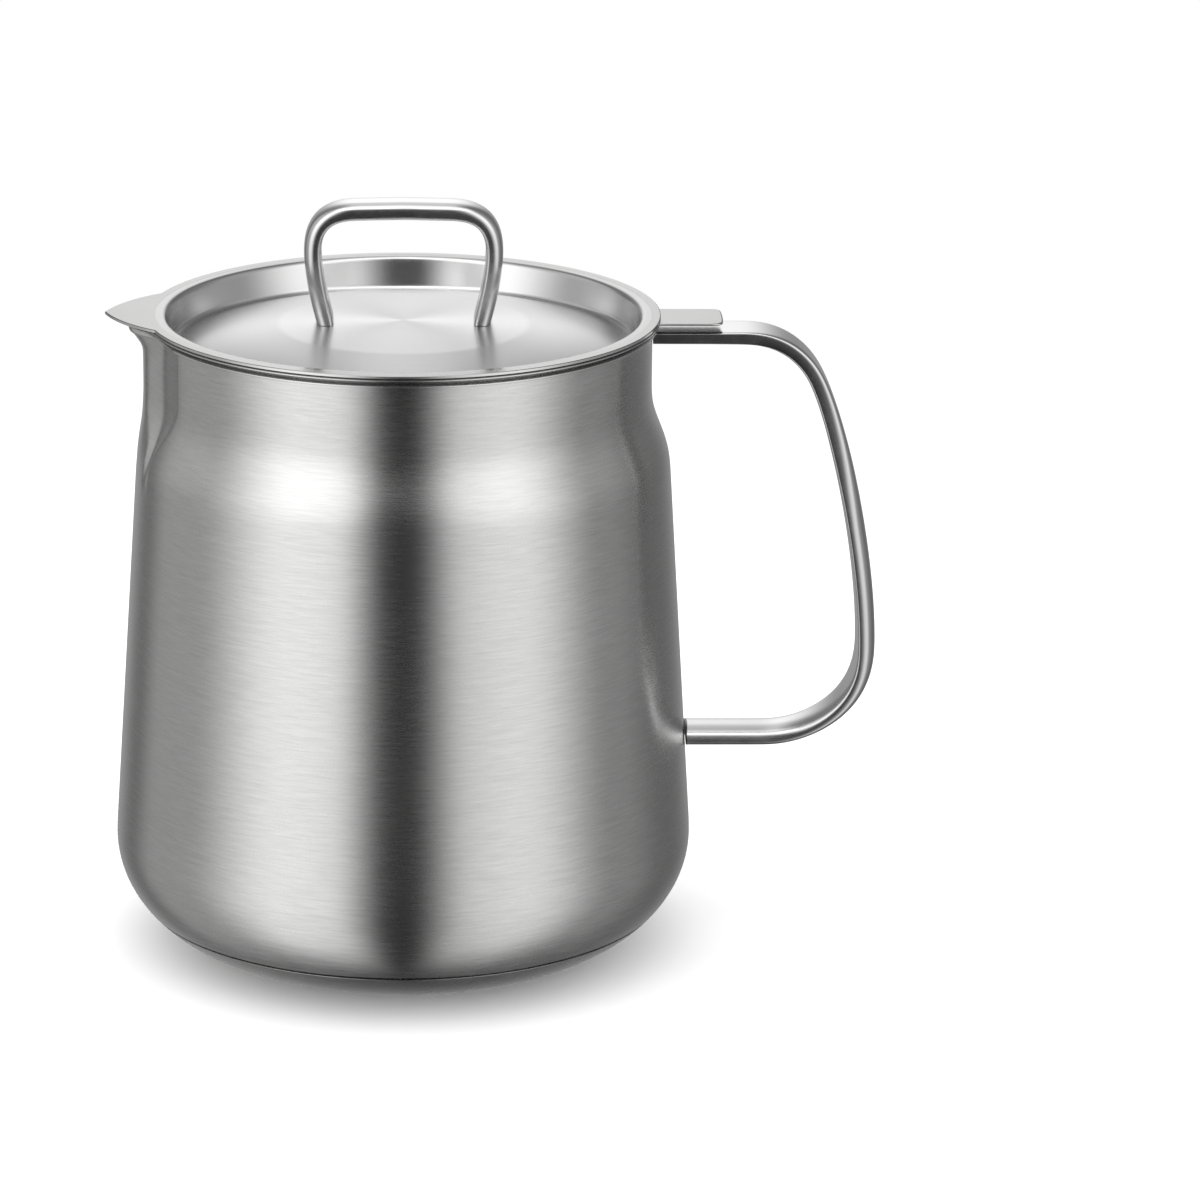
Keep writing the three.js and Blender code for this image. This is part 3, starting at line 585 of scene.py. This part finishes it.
# %% The pot's outer line
def belly_line():
    """Quarter ellipse at the foot, a straight lean, then half a cosine up to the neck."""
    turn = np.linspace(-np.pi / 2, 0, 40)
    foot = np.stack([FOOT_R + (BELLY_R - FOOT_R) * np.cos(turn),
                     BELLY_Z + BELLY_Z * np.sin(turn)], -1)
    share = np.linspace(0, 1, 40)
    fall = (1 - np.cos(np.pi * share)) / 2
    shoulder = np.stack([SHOULDER_R + (NECK_R - SHOULDER_R) * fall,
                         SHOULDER_Z + (NECK_Z - SHOULDER_Z) * share], -1)
    neck = [[NECK_R, RIM_Z - LIP_RISE]]
    return softened(np.vstack([foot, shoulder, neck]), 2.2, 1.5)


def s_step(value, start, end):
    """3t² − 2t³, an even S from 0 at start to 1 at end."""
    share = np.clip((value - start) / (end - start), 0, 1)
    return share * share * (3 - 2 * share)


def spout_bulge(height, angle, depth):
    """Hump reach·e^(−(w/spread)⁴), less a fold on each side; w is the way round the neck.

    Coming from the round neck, the wall turns in at a crease and dips by depth·(1 − t²), where
    t runs from 1 at the crease to 0 at the fold's floor. The crease slants towards the spout
    on the shoulder.
    """
    way = np.abs(wrapped(angle)) * NECK_R
    up = s_step(height, SPOUT["foot"], NECK_Z)
    flare = s_step(height, RIM_Z - SPOUT["flare_high"], RIM_Z)
    reach = SPOUT["reach"] * up + SPOUT["flare"] * flare * flare
    nose = np.exp(-((way / SPOUT["spread"]) ** 4))
    slant = s_step(height, *FOLD["slant"])
    crease = FOLD["foot"] + (FOLD["top"] - FOLD["foot"]) * slant
    width, flank = (low + (high - low) * slant for low, high in (FOLD["width"], FOLD["flank"]))
    floor_way = crease - width
    share = np.clip((way - floor_way) / width, 0, 1)
    side = s_step(way, floor_way - flank, floor_way)
    return reach * nose - depth * s_step(height, *FOLD["start"]) * side * (1 - share**2)


SOLID_SHORT = 0.08  # the solids are many-sided, so their belly is this much narrower
outline = belly_line() - [SOLID_SHORT, 0]
print("belly line:", len(outline), "points, widest", round(outline[:, 0].max(), 2))

# %% Body: outer wall, lip and inner wall as one closed profile
SEAT = WALL + GAP
FLOOR_UP = WALL + SEAT
HALF_FLOOR = FOOT_R * 0.5
SPOUT_WAY = 33
INNER_TOP = NECK_Z + 16

sunk = offset(outline, SEAT)
shown = outline[outline[:, 1] > CAP_Z + GAP]
hidden = sunk[(sunk[:, 0] > FOOT_R) & (sunk[:, 1] < CAP_Z + GAP)]
deep = WALL + SEAT * (1 - s_step(outline[:, 1], CAP_Z + GAP, BELLY_Z))
inner = offset(outline, deep)
inner = inner[(inner[:, 0] > FOOT_R) & (inner[:, 1] > 2 * SEAT)
              & (outline[:, 1] < INNER_TOP)]
lip = rounded([
    (NECK_R, RIM_Z - LIP_RISE, 0), (NECK_R + 0.3, RIM_Z - 1.5, 0.3),
    (NECK_R + 1.2, RIM_Z - 1.4, 0.15), (NECK_R + 1.2, RIM_Z - 1.0, 0.25),
    (NECK_R + 0.1, RIM_Z, 0.4), (NECK_R - 0.2, RIM_Z, 0.8), (NECK_R - WALL, RIM_Z - 1.1, 0.5),
    (NECK_R - WALL, RIM_Z - 2.6, 0),
])
bottom = [[0, SEAT], [HALF_FLOOR, SEAT], [FOOT_R, SEAT]]
floor_line = [[FOOT_R, FLOOR_UP], [HALF_FLOOR, FLOOR_UP], [0, FLOOR_UP]]
ledge = shown[:1] - [0.12, 0.02]
wall_line = np.vstack([bottom, hidden, ledge, shown, lip, inner[::-1], floor_line])
fine_way = np.arange(-SPOUT_WAY, SPOUT_WAY, 0.6)
way = np.concatenate([fine_way, np.arange(SPOUT_WAY, 2 * np.pi * NECK_R - SPOUT_WAY, 2.3)])
pot_angles = np.pi + way / NECK_R
is_outer = np.arange(len(wall_line)) < len(wall_line) - len(inner) - len(floor_line)
depth = np.where(is_outer, FOLD["outside"], FOLD["inside"])
bulge = spout_bulge(wall_line[:, 1:], way[None, :] / NECK_R, depth[:, None])
turned_out = np.clip(wall_line[:, :1] - NECK_R, 0, None) * (wall_line[:, 1:] > RIM_Z - LIP_RISE)
bulge -= turned_out * 0.9 * np.exp(-0.5 * (way / 10) ** 2)
pot_wall = spun("pot_wall", wall_line, pot_angles, bulge)
paint(pot_wall, brushed_steel)
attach(pot_wall, "pot")
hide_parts("pot_body")

# %% [markdown]
# ## Base cap
# A second, shallow bowl is pressed over the body's bottom to close it in. Its edge shows as
# a thin dark line low on the pot. That line could be painted on the body. Here the cap is a
# bowl of its own on the body's line, and its edge is rolled over a little, so that it catches
# light on one side and shade on the other, from below too.

# %% Base cap
in_cap = (outline[:, 1] < CAP_Z) & (outline[:, 0] > FOOT_R)
cap_outer, cap_inner = outline[in_cap], offset(outline, WALL)[in_cap]
edge_r = np.interp(CAP_Z, outline[:, 1], outline[:, 0])
rim = rounded([tuple(cap_outer[-1]) + (0,), (edge_r, CAP_Z, 0.12),
               (edge_r - WALL, CAP_Z, 0.12), tuple(cap_inner[-1]) + (0,)])
cap_line = np.vstack([[[0, 0], [HALF_FLOOR, 0]], cap_outer, rim, cap_inner[::-1],
                      [[HALF_FLOOR, WALL], [0, WALL]]])
cap_line[:, 1] = np.clip(cap_line[:, 1], 0, CAP_Z)
base_shell = spun("base_shell", cap_line, ROUND)
paint(base_shell, brushed_steel)
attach(base_shell, "pot")
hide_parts("base_cap")

# %% [markdown]
# ## Side handle
# The handle is a flat bar, thin and square where it leaves the neck, and rounder and thicker
# towards the lower weld. It bends down, bows out along the grip and turns back in. It is made
# as a section carried along a path of smooth curves. A rounded rectangle would keep flat
# faces, but the real bar grows as round as a pebble, first on its outer side and low down on
# both, so its section is two half superellipses back to back.


# %% A section carried along a path
def curve(*controls, count=24):
    """Points on a curve through its first and last control, pulled towards those between."""
    share = np.linspace(0, 1, count)[:, None]
    a, b, c, d = np.array(controls, float)
    left = 1 - share
    return a * left**3 + 3 * b * left**2 * share + 3 * c * left * share**2 + d * share**3


def pebble_ring(width, thick, powers, sag, count=56):
    """Points (w, n) of |w/a|^p + |n/b|^p = 1: two half superellipses back to back.

    The powers p are for the outer side (n above 0) and the inner one. The half heights are
    b = thick/2 ± sag, and n is moved by −sag to keep the bar centred.
    """
    turn = circle(count) + np.pi / count
    spot = np.stack([np.cos(turn), -np.sin(turn)], -1)
    outer_side = spot[:, 1:] > 0
    spot = np.sign(spot) * np.abs(spot) ** (2 / np.where(outer_side, *powers))
    half = np.where(outer_side, thick / 2 + sag, thick / 2 - sag)
    return np.hstack([spot[:, :1] * width / 2, spot[:, 1:] * half - sag])


def swept(name, path, rings, trim=None):
    """The ring point (w, n) at path point p is p + w·Y + n·normal, the path lying in XZ.

    Each end is closed by a fan.
    """
    along = np.gradient(path, axis=0)
    along /= np.hypot(*along.T)[:, None]
    normal = np.stack([-along[:, 1], along[:, 0]], -1)
    flat = path[:, None, :] + normal[:, None, :] * rings[:, :, 1:]
    points = np.stack([flat[..., 0], rings[..., 0], flat[..., 1]], -1)
    if trim:
        points[0], points[-1] = trim(points[0]), trim(points[-1])
    rows, columns = points.shape[:2]
    points = np.vstack([points.reshape(-1, 3), points[[0, -1]].mean(1)])
    faces = [grid_faces(rows, columns, False)] + end_fans(rows, columns)
    return mesh_piece(name, points, faces)


# %% Path and section of the side handle
BAR_WIDE = 14
TOP_Z, LOW_Z = 165, 56.3
BEND_END, GRIP_END = (105.7, 156.2), (121.8, 80)
TOP_BEND = [(89, TOP_Z), (97.35, TOP_Z), (102.7, 160.6), BEND_END]
GRIP = [BEND_END, (111.7, 147.8), (121.8, 107.4), GRIP_END]
LOW_BEND = [GRIP_END, (121.8, 59.1), (99.6, LOW_Z), (96.6, LOW_Z)]
low_wall = np.interp(LOW_Z, outline[:, 1], outline[:, 0])
handle_path = np.vstack([
    [[NECK_R, TOP_Z], [76, TOP_Z]], curve(*TOP_BEND), curve(*GRIP)[1:], curve(*LOW_BEND)[1:],
    [[84, LOW_Z], [low_wall, LOW_Z]],
])
handle_path = softened(handle_path, 2.0, 1.0)
share = np.linspace(0, 1, len(handle_path))
thick = 3.2 + 1.6 * s_step(share, 0.05, 0.4) + 0.4 * s_step(share, 0.75, 0.88)
powers = np.stack([9 - 6.6 * s_step(share, 0.12, 0.5), 9 - 6.6 * s_step(share, 0.6, 0.85)], -1)
sag = 1.3 * s_step(share, 0.15, 0.42) - 2.0 * s_step(share, 0.66, 0.85)
handle_rings = np.array([pebble_ring(BAR_WIDE, *size) for size in zip(thick, powers, sag)])


def meet_wall(ring):
    """Moves an end ring's points along X until they are one gap off the pot's wall."""
    ring = ring.copy()
    order = outline[:, 1].argsort()
    wall = np.interp(ring[:, 2], outline[order, 1], outline[order, 0]) + GAP
    ring[:, 0] = np.sqrt(wall**2 - ring[:, 1] ** 2)
    return ring


side_bar = swept("side_bar", handle_path, handle_rings, meet_wall)
paint(side_bar, bar_steel)
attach(side_bar, "pot")
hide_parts("side_handle")

# %% [markdown]
# ## Lid
# The lid is pressed from one sheet: a flange that lies on the dish, a straight recess wall
# and a low dome. A beak that covers the spout is cut in one with the flange. The round part
# and the flange are two surfaces here, because the ring grain of the round part has to stay
# centred on the axis, and the beak would pull it off centre.

# %% Sizes of the lid and the dish
SHEET = 0.7
TUCK = 0.02  # how far the round parts stay under the face of their flange
DISH_TOP = RIM_Z + GAP + SHEET
LID_TOP = DISH_TOP + GAP + SHEET
DISH_OUT = NECK_R - WALL - 0.4
LID_OUT = DISH_OUT - SHEET - 0.4
LID_IN = LID_OUT - SHEET
FLANGE_R = 66.5
BEAK_TIP, BEAK_HALF = 77.1, 20
RECESS_R, GUTTER, RECESS, DOME_RISE = 59.8, 2.2, 8.2, 6
DOME_R = RECESS_R - GUTTER
CREASE_Z = LID_TOP - RECESS


def dome(radius):
    """Height of the lid's face: crease + rise·(1 − (r/R)³), with a faint ring pressed up."""
    ring = 0.28 * np.exp(-np.abs(radius - 32.3) / 5)
    return CREASE_Z + DOME_RISE * (1 - (radius / DOME_R) ** 3) + ring


def arc(across, up, radius, start, end):
    """Points of a circle between two angles in degrees."""
    turn = np.radians(np.linspace(start, end, 10))
    return np.stack([across + radius * np.cos(turn), up + radius * np.sin(turn)], -1)


# %% Round part of the lid
LAP = 3
reach = DOME_R * np.sqrt(np.linspace(0, 0.97, 56))
face = np.stack([reach, dome(reach)], -1)
foot = rounded([tuple(face[-1]) + (0,), (DOME_R + 0.2, CREASE_Z, 0.5),
                (RECESS_R - 1.4, CREASE_Z, 0)])
face = np.vstack([face[:-1], foot])
under = face - [0, SHEET]
tucked = LID_TOP - TUCK
edge = rounded([
    (RECESS_R - 0.4, CREASE_Z - SHEET, 0), (RECESS_R + 0.8, CREASE_Z - SHEET, 1.6),
    (LID_OUT, tucked - SHEET, 1.0), (LID_IN + LAP, tucked - SHEET, 0),
    (LID_IN + LAP, tucked, 0), (LID_IN, tucked, 1.6),
    (RECESS_R - 0.1, CREASE_Z, 1.5), (RECESS_R - 3.2, CREASE_Z, 0),
])
lid_line = np.vstack([under, edge[:-1], face[::-1]])
lid_face = spun("lid_face", lid_line, ROUND)
paint(lid_face, turned_steel)
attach(lid_face, "lid")
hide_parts("lid_pan")


# %% [markdown]
# The flange is a flat ring whose outer edge is a function of the angle: the rim's circle, or
# the beak's outline where that reaches further. The beak is two curves that meet in a point.
# A disc and a beak could be joined by a Boolean, which leaves ragged faces where they meet.


# %% Flange with the beak
def beak_edge(angle):
    """Furthest of the rim's circle and the beak's two curves, along a ray at an angle."""
    root = np.array([-np.sqrt(FLANGE_R**2 - BEAK_HALF**2), BEAK_HALF])
    bulge = np.array([root[0] - 0.72 * (BEAK_TIP + root[0]), 12.2])
    tip = np.array([-BEAK_TIP, 0])
    share = np.linspace(0, 1, 400)[:, None]
    line = root * (1 - share) ** 2 + 2 * bulge * share * (1 - share) + tip * share**2
    away = np.abs(wrapped(angle - np.pi))
    line_away = np.arctan2(line[:, 1], -line[:, 0])
    order = line_away.argsort()
    beak = np.interp(away, line_away[order], np.hypot(*line.T)[order], right=0)
    return np.maximum(beak, FLANGE_R)


def flange(name, inside, outside, low, high, count, bevel=0.2):
    """A flat ring between a radius and an edge, which is a function of the angle.

    The edge is bevelled square to its own line, so that a tab's long sides are bevelled too.
    """
    angle = circle(count)
    spoke = np.stack([np.cos(angle), np.sin(angle)], -1)
    hole, edge = spoke * inside, spoke * outside(angle)[:, None]
    along = np.roll(edge, -1, 0) - np.roll(edge, 1, 0)
    inward = np.stack([-along[:, 1], along[:, 0]], -1) / np.hypot(*along.T)[:, None]
    less = edge + inward * bevel
    steps = [(hole, low), (less, low), (edge, low + bevel * 0.7), (edge, high - bevel * 0.7),
             (less, high), (hole, high)]
    points = np.vstack([np.column_stack([spot, np.full(count, up)]) for spot, up in steps])
    return mesh_piece(name, points, [grid_faces(len(steps), count, True)], crease=25)


lid_rim = flange("lid_rim", LID_IN + 2.6, beak_edge, LID_TOP - SHEET - 0.15, LID_TOP, 720)
paint(lid_rim, rim_steel)
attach(lid_rim, "lid")
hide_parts("lid_pan")

# %% [markdown]
# ## Lid handle
# A strap, rounder outside than inside, bent into an arch with soft shoulders and standing on
# the dome. It is the side handle's method again: one path, one section.

# %% Lid handle
STRAP_WIDE, STRAP_THICK = 11.6, 4.5
FOOT_X, SPAN_X, TOP_X = 20.3, 23.45, 12
foot_z = dome(FOOT_X) + GAP
arch_z = dome(FOOT_X) + 29.98
knee_z = arch_z - 11
leg = curve((FOOT_X, foot_z), (21.9, foot_z + 6), (SPAN_X, knee_z - 6), (SPAN_X, knee_z))
shoulder_z = arch_z - 0.25
knee = curve((SPAN_X, knee_z), (SPAN_X, knee_z + 7.4), (19.7, shoulder_z), (TOP_X, shoulder_z))
half = np.vstack([leg, knee[1:]])
arch = softened(np.vstack([half * [-1, 1], [[0, arch_z]], half[::-1]]), 1.2, 0.6)
arch_ring = pebble_ring(STRAP_WIDE, STRAP_THICK, (3, 5), 0.8)


def meet_dome(ring):
    """Moves an end ring's points along Z until they are a hair off the lid's face."""
    ring = ring.copy()
    ring[:, 2] = dome(np.hypot(ring[:, 0], ring[:, 1])) + 0.1
    return ring


arch_rings = np.repeat(arch_ring[None], len(arch), 0)
lid_arch = swept("lid_arch", arch, arch_rings, meet_dome)
paint(lid_arch, strap_steel)
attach(lid_arch, "lid")
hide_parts("lid_handle")

# %% [markdown]
# ## Drip dish
# The dish is a round bowl with a small step round its floor and a narrow flange that hangs
# on the pot's lip. A flat tab for the thumb is cut in one with the flange. As with the lid,
# the round part keeps its ring grain on the axis, and the flange with the tab is its own
# surface.

# %% Bowl of the dish
DISH_IN = DISH_OUT - SHEET
DISH_FLOOR_R, DISH_DEEP, FLOOR_STEP = 42, 31.6, 0.9
floor_top = DISH_TOP - DISH_DEEP + SHEET
turn = np.linspace(0, -np.pi / 2, 30)
bowl_x = DISH_FLOOR_R + 1.6
bowl_z = DISH_TOP - 2.6
bowl = np.stack([bowl_x + (DISH_IN - bowl_x) * np.cos(turn),
                 bowl_z + (bowl_z - floor_top) * np.sin(turn)], -1)
bowl_back = offset(bowl[::-1], -SHEET)
raised = floor_top + FLOOR_STEP
step = rounded([(bowl_x, floor_top, 0), (DISH_FLOOR_R + 0.8, floor_top, 0.4),
                (DISH_FLOOR_R - 0.2, raised, 0.5), (DISH_FLOOR_R - 3, raised, 0)])
low_step = step[::-1] - [0, SHEET]
DISH_ROLL = 2.2
tucked = DISH_TOP - TUCK
roll_r, roll_z = DISH_IN + DISH_ROLL, tucked - DISH_ROLL
dish_edge = np.vstack([
    arc(roll_r, roll_z, DISH_ROLL - SHEET, 180, 90),
    [[roll_r + 0.3, tucked - SHEET], [roll_r + 0.3, tucked]],
    arc(roll_r, roll_z, DISH_ROLL, 90, 180),
])
half_r = DISH_FLOOR_R * 0.5
dish_line = np.vstack([
    [[0, raised - SHEET], [half_r, raised - SHEET]], low_step, bowl_back, dish_edge, bowl,
    step[1:], [[half_r, raised], [0, raised]],
])
dish_bowl = spun("dish_bowl", dish_line, ROUND)
paint(dish_bowl, turned_steel)
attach(dish_bowl, "dish")
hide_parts("drip_dish")


# %% Flange with the thumb tab
def tab_edge(angle):
    """The rim's circle, or the tab's rounded rectangle where that reaches further.

    Along a ray at a small angle a, the tab's end is at reach/cos a, its side at half
    width/sin a, and its corner at c·d + √(r² − |c|² + (c·d)²), with the corner's centre c and
    the ray's direction d. A soft maximum with the rim makes the small fillet at the root.
    """
    reach, half, corner = 82.6, 8, 2.4
    turn = np.abs(wrapped(angle))
    centre = np.array([reach - corner, half - corner])
    near = centre[0] * np.cos(turn) + centre[1] * np.sin(turn)
    bend = near + np.sqrt(np.maximum(corner**2 - centre @ centre + near**2, 0))
    end = reach / np.maximum(np.cos(turn), 0.2)
    side = half / np.maximum(np.sin(turn), 1e-4)
    tab = np.where(turn < np.arctan2(centre[1], reach), end, bend)
    tab = np.where(turn > np.arctan2(half, centre[0]), side, tab)
    tab = np.where(turn < 1.2, tab, 0)
    edge = np.logaddexp(tab * 1.8, FLANGE_R * 1.8) / 1.8
    return np.minimum(edge, reach)


dish_rim = flange("dish_rim", roll_r, tab_edge, DISH_TOP - SHEET, DISH_TOP, 1440, bevel=0.35)
paint(dish_rim, rim_steel)
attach(dish_rim, "dish")
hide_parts("drip_dish")

# %% [markdown]
# ## Basket
# The basket is a rolled sheet of expanded mesh, held between a wire ring with a solid collar
# at the top and a beaded strip at the bottom. Expanded mesh is a sheet that was slit and
# pulled, so its strands meet in flat joints and each strand is a little twisted. It could be
# woven from wires, but the real one is one sheet with diamond openings. So it is a lattice:
# places where row and column add up to an odd number are openings, the others are joints.


# %% A sheet of diamonds with thickness
def only_used(corners, faces):
    """The corners that some face uses, and the faces with their numbers changed to match."""
    used = np.unique(faces)
    number = np.full(len(corners), -1)
    number[used] = np.arange(len(used))
    return corners[used], number[faces]


def lattice(columns, rows, share, joined):
    """Corners and faces of a diamond lattice, in lattice steps.

    An opening at (u, v) has corners at u ± share and v ± share. A joint is the quad between
    the four openings round it, and two strands rise from each joint, one to each side.
    """
    width = 2 * columns if joined else 2 * columns + 1
    v, u = np.meshgrid(np.arange(rows + 1), np.arange(width), indexing="ij")
    centre = np.stack([u, v], -1)
    steps = np.array([[-share, 0], [share, 0], [0, -share], [0, share]])
    corners = (centre[:, :, None, :] + steps).reshape(-1, 2)
    number = np.arange(len(corners)).reshape(rows + 1, width, 4)
    edge_u = np.arange(width)
    low_edge = len(corners) + edge_u
    high_edge = low_edge + width
    corners = np.vstack([corners, np.stack([edge_u, np.zeros(width)], -1),
                         np.stack([edge_u, np.full(width, rows)], -1)])
    for row, edge in ((0, low_edge), (rows, high_edge)):
        number[row] = np.stack([np.roll(edge, 1), np.roll(edge, -1), edge, edge], -1)
    left, right, bottom, top = np.moveaxis(number, -1, 0)
    next_left, next_top = np.roll(left, -1, 1), np.roll(top, -1, 1)
    last_right, last_top = np.roll(right, 1, 1), np.roll(top, 1, 1)
    joints = np.stack([top[:-2], next_left[1:-1], bottom[2:], last_right[1:-1]], -1)
    rise_right = np.stack([next_left[:-1], next_top[:-1], right[1:], bottom[1:]], -1)
    rise_left = np.stack([last_top[:-1], last_right[:-1], bottom[1:], left[1:]], -1)
    even = (u + v) % 2 == 0
    faces = np.vstack([joints[even[1:-1]], rise_right[even[:-1]], rise_left[even[:-1]]])
    return only_used(corners, faces)


def sheet_solid(name, outer, inner, faces):
    """Two skins of the same faces, one turned round, and a wall on each edge of one face only."""
    count = len(outer)
    starts, ends = faces, np.roll(faces, -1, 1)
    key = starts.ravel() * count + ends.ravel()
    reverse = ends.ravel() * count + starts.ravel()
    alone = ~np.isin(key, reverse)
    a, b = starts.ravel()[alone], ends.ravel()[alone]
    walls = np.stack([b, a, a + count, b + count], -1)
    skins = [faces, faces[:, ::-1] + count, walls]
    return mesh_piece(name, np.vstack([outer, inner]), skins, crease=30)


# %% Mesh wall
RING_R, RING_WIRE = 48.4, 3.0
BASKET_FOOT, STRIP = 2.9, 0.6
RING_Z = BASKET_FOOT + 129
MESH_TOP, MESH_LOW = RING_Z - RING_WIRE / 2 - GAP, BASKET_FOOT + STRIP + GAP
MESH_TOP_R = RING_R - RING_WIRE / 2 - GAP
MESH_LOW_R = MESH_TOP_R - 1.5
MESH_COLUMNS, MESH_ROWS = 83, 39
OPEN_SHARE, STRAND, TWIST = 0.71, 0.5, 0.3

corners, faces = lattice(MESH_COLUMNS, MESH_ROWS, OPEN_SHARE, True)
angle = corners[:, 0] * np.pi / MESH_COLUMNS
climb = corners[:, 1] / MESH_ROWS
twist = TWIST * np.where(corners[:, 1] % 1 > 0.5, -1, 1) * (corners[:, 1] % 1 > 0.01)
skin_r = MESH_LOW_R + (MESH_TOP_R - MESH_LOW_R) * climb - STRAND / 2 + twist


def rolled(radius):
    """Lattice steps wrapped round the axis at a radius."""
    return np.stack([radius * np.cos(angle), radius * np.sin(angle),
                     MESH_LOW + (MESH_TOP - MESH_LOW) * climb], -1)


mesh_wall = sheet_solid("mesh_wall", rolled(skin_r), rolled(skin_r - STRAND), faces)
paint(mesh_wall, mesh_steel)
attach(mesh_wall, "basket")
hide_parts("basket_mesh_wall")

# %% [markdown]
# The basket's floor is the same expanded sheet, cut round and seated inside the bottom
# strip. Faces of a flat lattice outside the circle are left out, and a plain ring covers
# the cut ends.

# %% Mesh floor
FLOOR_COLUMNS, FLOOR_ROWS = 26, 27
FLOOR_R = MESH_LOW_R - 0.8 - GAP
SEAT_R = FLOOR_R - 2.6

corners, faces = lattice(FLOOR_COLUMNS, FLOOR_ROWS, OPEN_SHARE, False)
flat = (corners - [FLOOR_COLUMNS, FLOOR_ROWS / 2]) * [1.75, 3.4]
inside = (np.hypot(*flat.T) < FLOOR_R - 0.4)[faces].all(1)
flat, faces = only_used(flat, faces[inside])
skin = np.column_stack([flat, np.full(len(flat), MESH_LOW + 0.65)])
mesh_floor = sheet_solid("mesh_floor", skin, skin - [0, 0, STRAND], faces)
seat_line = rounded([(SEAT_R, MESH_LOW, 0), (FLOOR_R, MESH_LOW, 0.15),
                     (FLOOR_R, MESH_LOW + 0.8, 0.15), (SEAT_R, MESH_LOW + 0.8, 0.15),
                     (SEAT_R, MESH_LOW + 0.1, 0)])
floor_seat = spun("floor_seat", seat_line, ROUND)
for piece in (mesh_floor, floor_seat):
    paint(piece, mesh_steel)
    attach(piece, "basket")
    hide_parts("basket_mesh_floor")


# %% Wire ring and collar
def wire_section(thick, count):
    """Points (across, up) of a wire's round section."""
    turn = circle(count)
    return np.stack([np.cos(turn), np.sin(turn)], -1) * thick / 2


ring_line = wire_section(RING_WIRE, 20) + [RING_R, RING_Z]
rim_wire = spun("rim_wire", ring_line, ROUND)
paint(rim_wire, wire_steel)
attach(rim_wire, "basket")
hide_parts("basket_rim_ring")

COLLAR_R = MESH_TOP_R - 0.8 - GAP
COLLAR_IN, COLLAR_LOW = COLLAR_R - STRIP, RING_Z - 11.5
collar_line = rounded([
    (COLLAR_IN, COLLAR_LOW + 0.1, 0), (COLLAR_IN + 0.1, COLLAR_LOW, 0.1),
    (COLLAR_R, COLLAR_LOW, 0.2), (COLLAR_R, RING_Z, 0.25), (COLLAR_IN, RING_Z, 0.25),
    (COLLAR_IN, COLLAR_LOW + 0.2, 0),
])
collar = spun("rim_collar", collar_line, ROUND)
paint(collar, strip_steel)
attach(collar, "basket")
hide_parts("basket_collar")

# %% [markdown]
# The bottom strip is rolled with two beads that stiffen it, and its lower edge turns in
# under the mesh. Each bead is a hump of e^(−t⁴) on the strip's profile: flatter on top than
# a bell curve, as a rolled bead is, and with no corner to bevel.

# %% Bottom strip
BAND_IN = MESH_LOW_R + GAP
BAND_OUT = BAND_IN + STRIP
BAND_TOP, LIP_TOP = BASKET_FOOT + 7.6, BASKET_FOOT + STRIP
BEADS, BEAD_OUT, BEAD_WIDE = (1.5, 3.8), 0.52, 0.55

climb = np.linspace(0.25, 7.35, 90)
beads = BEAD_OUT * sum(np.exp(-(((climb - middle) / BEAD_WIDE) ** 4)) for middle in BEADS)
side = np.stack([BAND_OUT + beads, BASKET_FOOT + climb], -1)
shelf = BAND_IN - 3.4
band_line = np.vstack([
    [[shelf, BASKET_FOOT + 0.2], [shelf + 0.2, BASKET_FOOT], [BAND_OUT - 0.3, BASKET_FOOT]],
    side,
    [[BAND_OUT - 0.2, BAND_TOP], [BAND_IN + 0.1, BAND_TOP], [BAND_IN, BAND_TOP - 0.2],
     [BAND_IN, LIP_TOP + 0.1], [BAND_IN - 0.1, LIP_TOP], [shelf + 0.2, LIP_TOP],
     [shelf, LIP_TOP - 0.2]],
])
band = spun("bottom_strip", band_line, ROUND)
paint(band, strip_steel)
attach(band, "basket")
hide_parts("basket_bottom_band")

# %% [markdown]
# The bail is one wire. Its ends turn out through the collar, its sides bow in towards a
# pointed top where a finger lifts it. A curve object with a round bevel would do as well, but
# the section is already at hand as an array. The wire is drawn upright, as the photograph
# shows it, and then laid down on the ring, as it lies when the dish is over it.

# %% Bail
BAIL_WIRE, BAIL_REACH, BAIL_DROP, ELBOW = 1.8, 49.4, 7.2, 1.6
BAIL_Z = RING_Z - BAIL_DROP

bail_leg = COLLAR_IN - GAP - BAIL_WIRE
bow = np.array([[1, 0.04], [0.985, 0.19], [0.885, 0.41], [0.65, 0.637], [0.27, 0.82], [0, 1]])
side = softened(resampled(bow * [bail_leg, BAIL_REACH], 70), 4.5, 0.7)
turn = np.linspace(-np.pi / 2, -np.pi, 8)
elbow = (np.stack([np.cos(turn), np.sin(turn)], -1) + 1) * ELBOW + [bail_leg, 0]
half = np.vstack([[[BAIL_REACH, 0], [47.5, 0]], elbow, side[1:]])
wire_path = np.vstack([half * [-1, 1], half[::-1][1:]])
wire_ring = wire_section(BAIL_WIRE, 14)
bail_wire = swept("bail_wire", wire_path, np.repeat(wire_ring[None], len(wire_path), 0))
lean = np.arcsin((BAIL_DROP + RING_WIRE / 2 + GAP + BAIL_WIRE / 2) / BAIL_REACH) - np.pi / 2
points = np.empty(len(bail_wire.data.vertices) * 3)
bail_wire.data.vertices.foreach_get("co", points)
x, y, z = points.reshape(-1, 3).T
tilted = np.stack([x, y * np.cos(lean) - z * np.sin(lean),
                   y * np.sin(lean) + z * np.cos(lean) + BAIL_Z * MM], -1)
bail_wire.data.vertices.foreach_set("co", tilted.ravel())
bail_wire.data.update()
paint(bail_wire, wire_steel)
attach(bail_wire, "bail")
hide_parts("basket_bail")
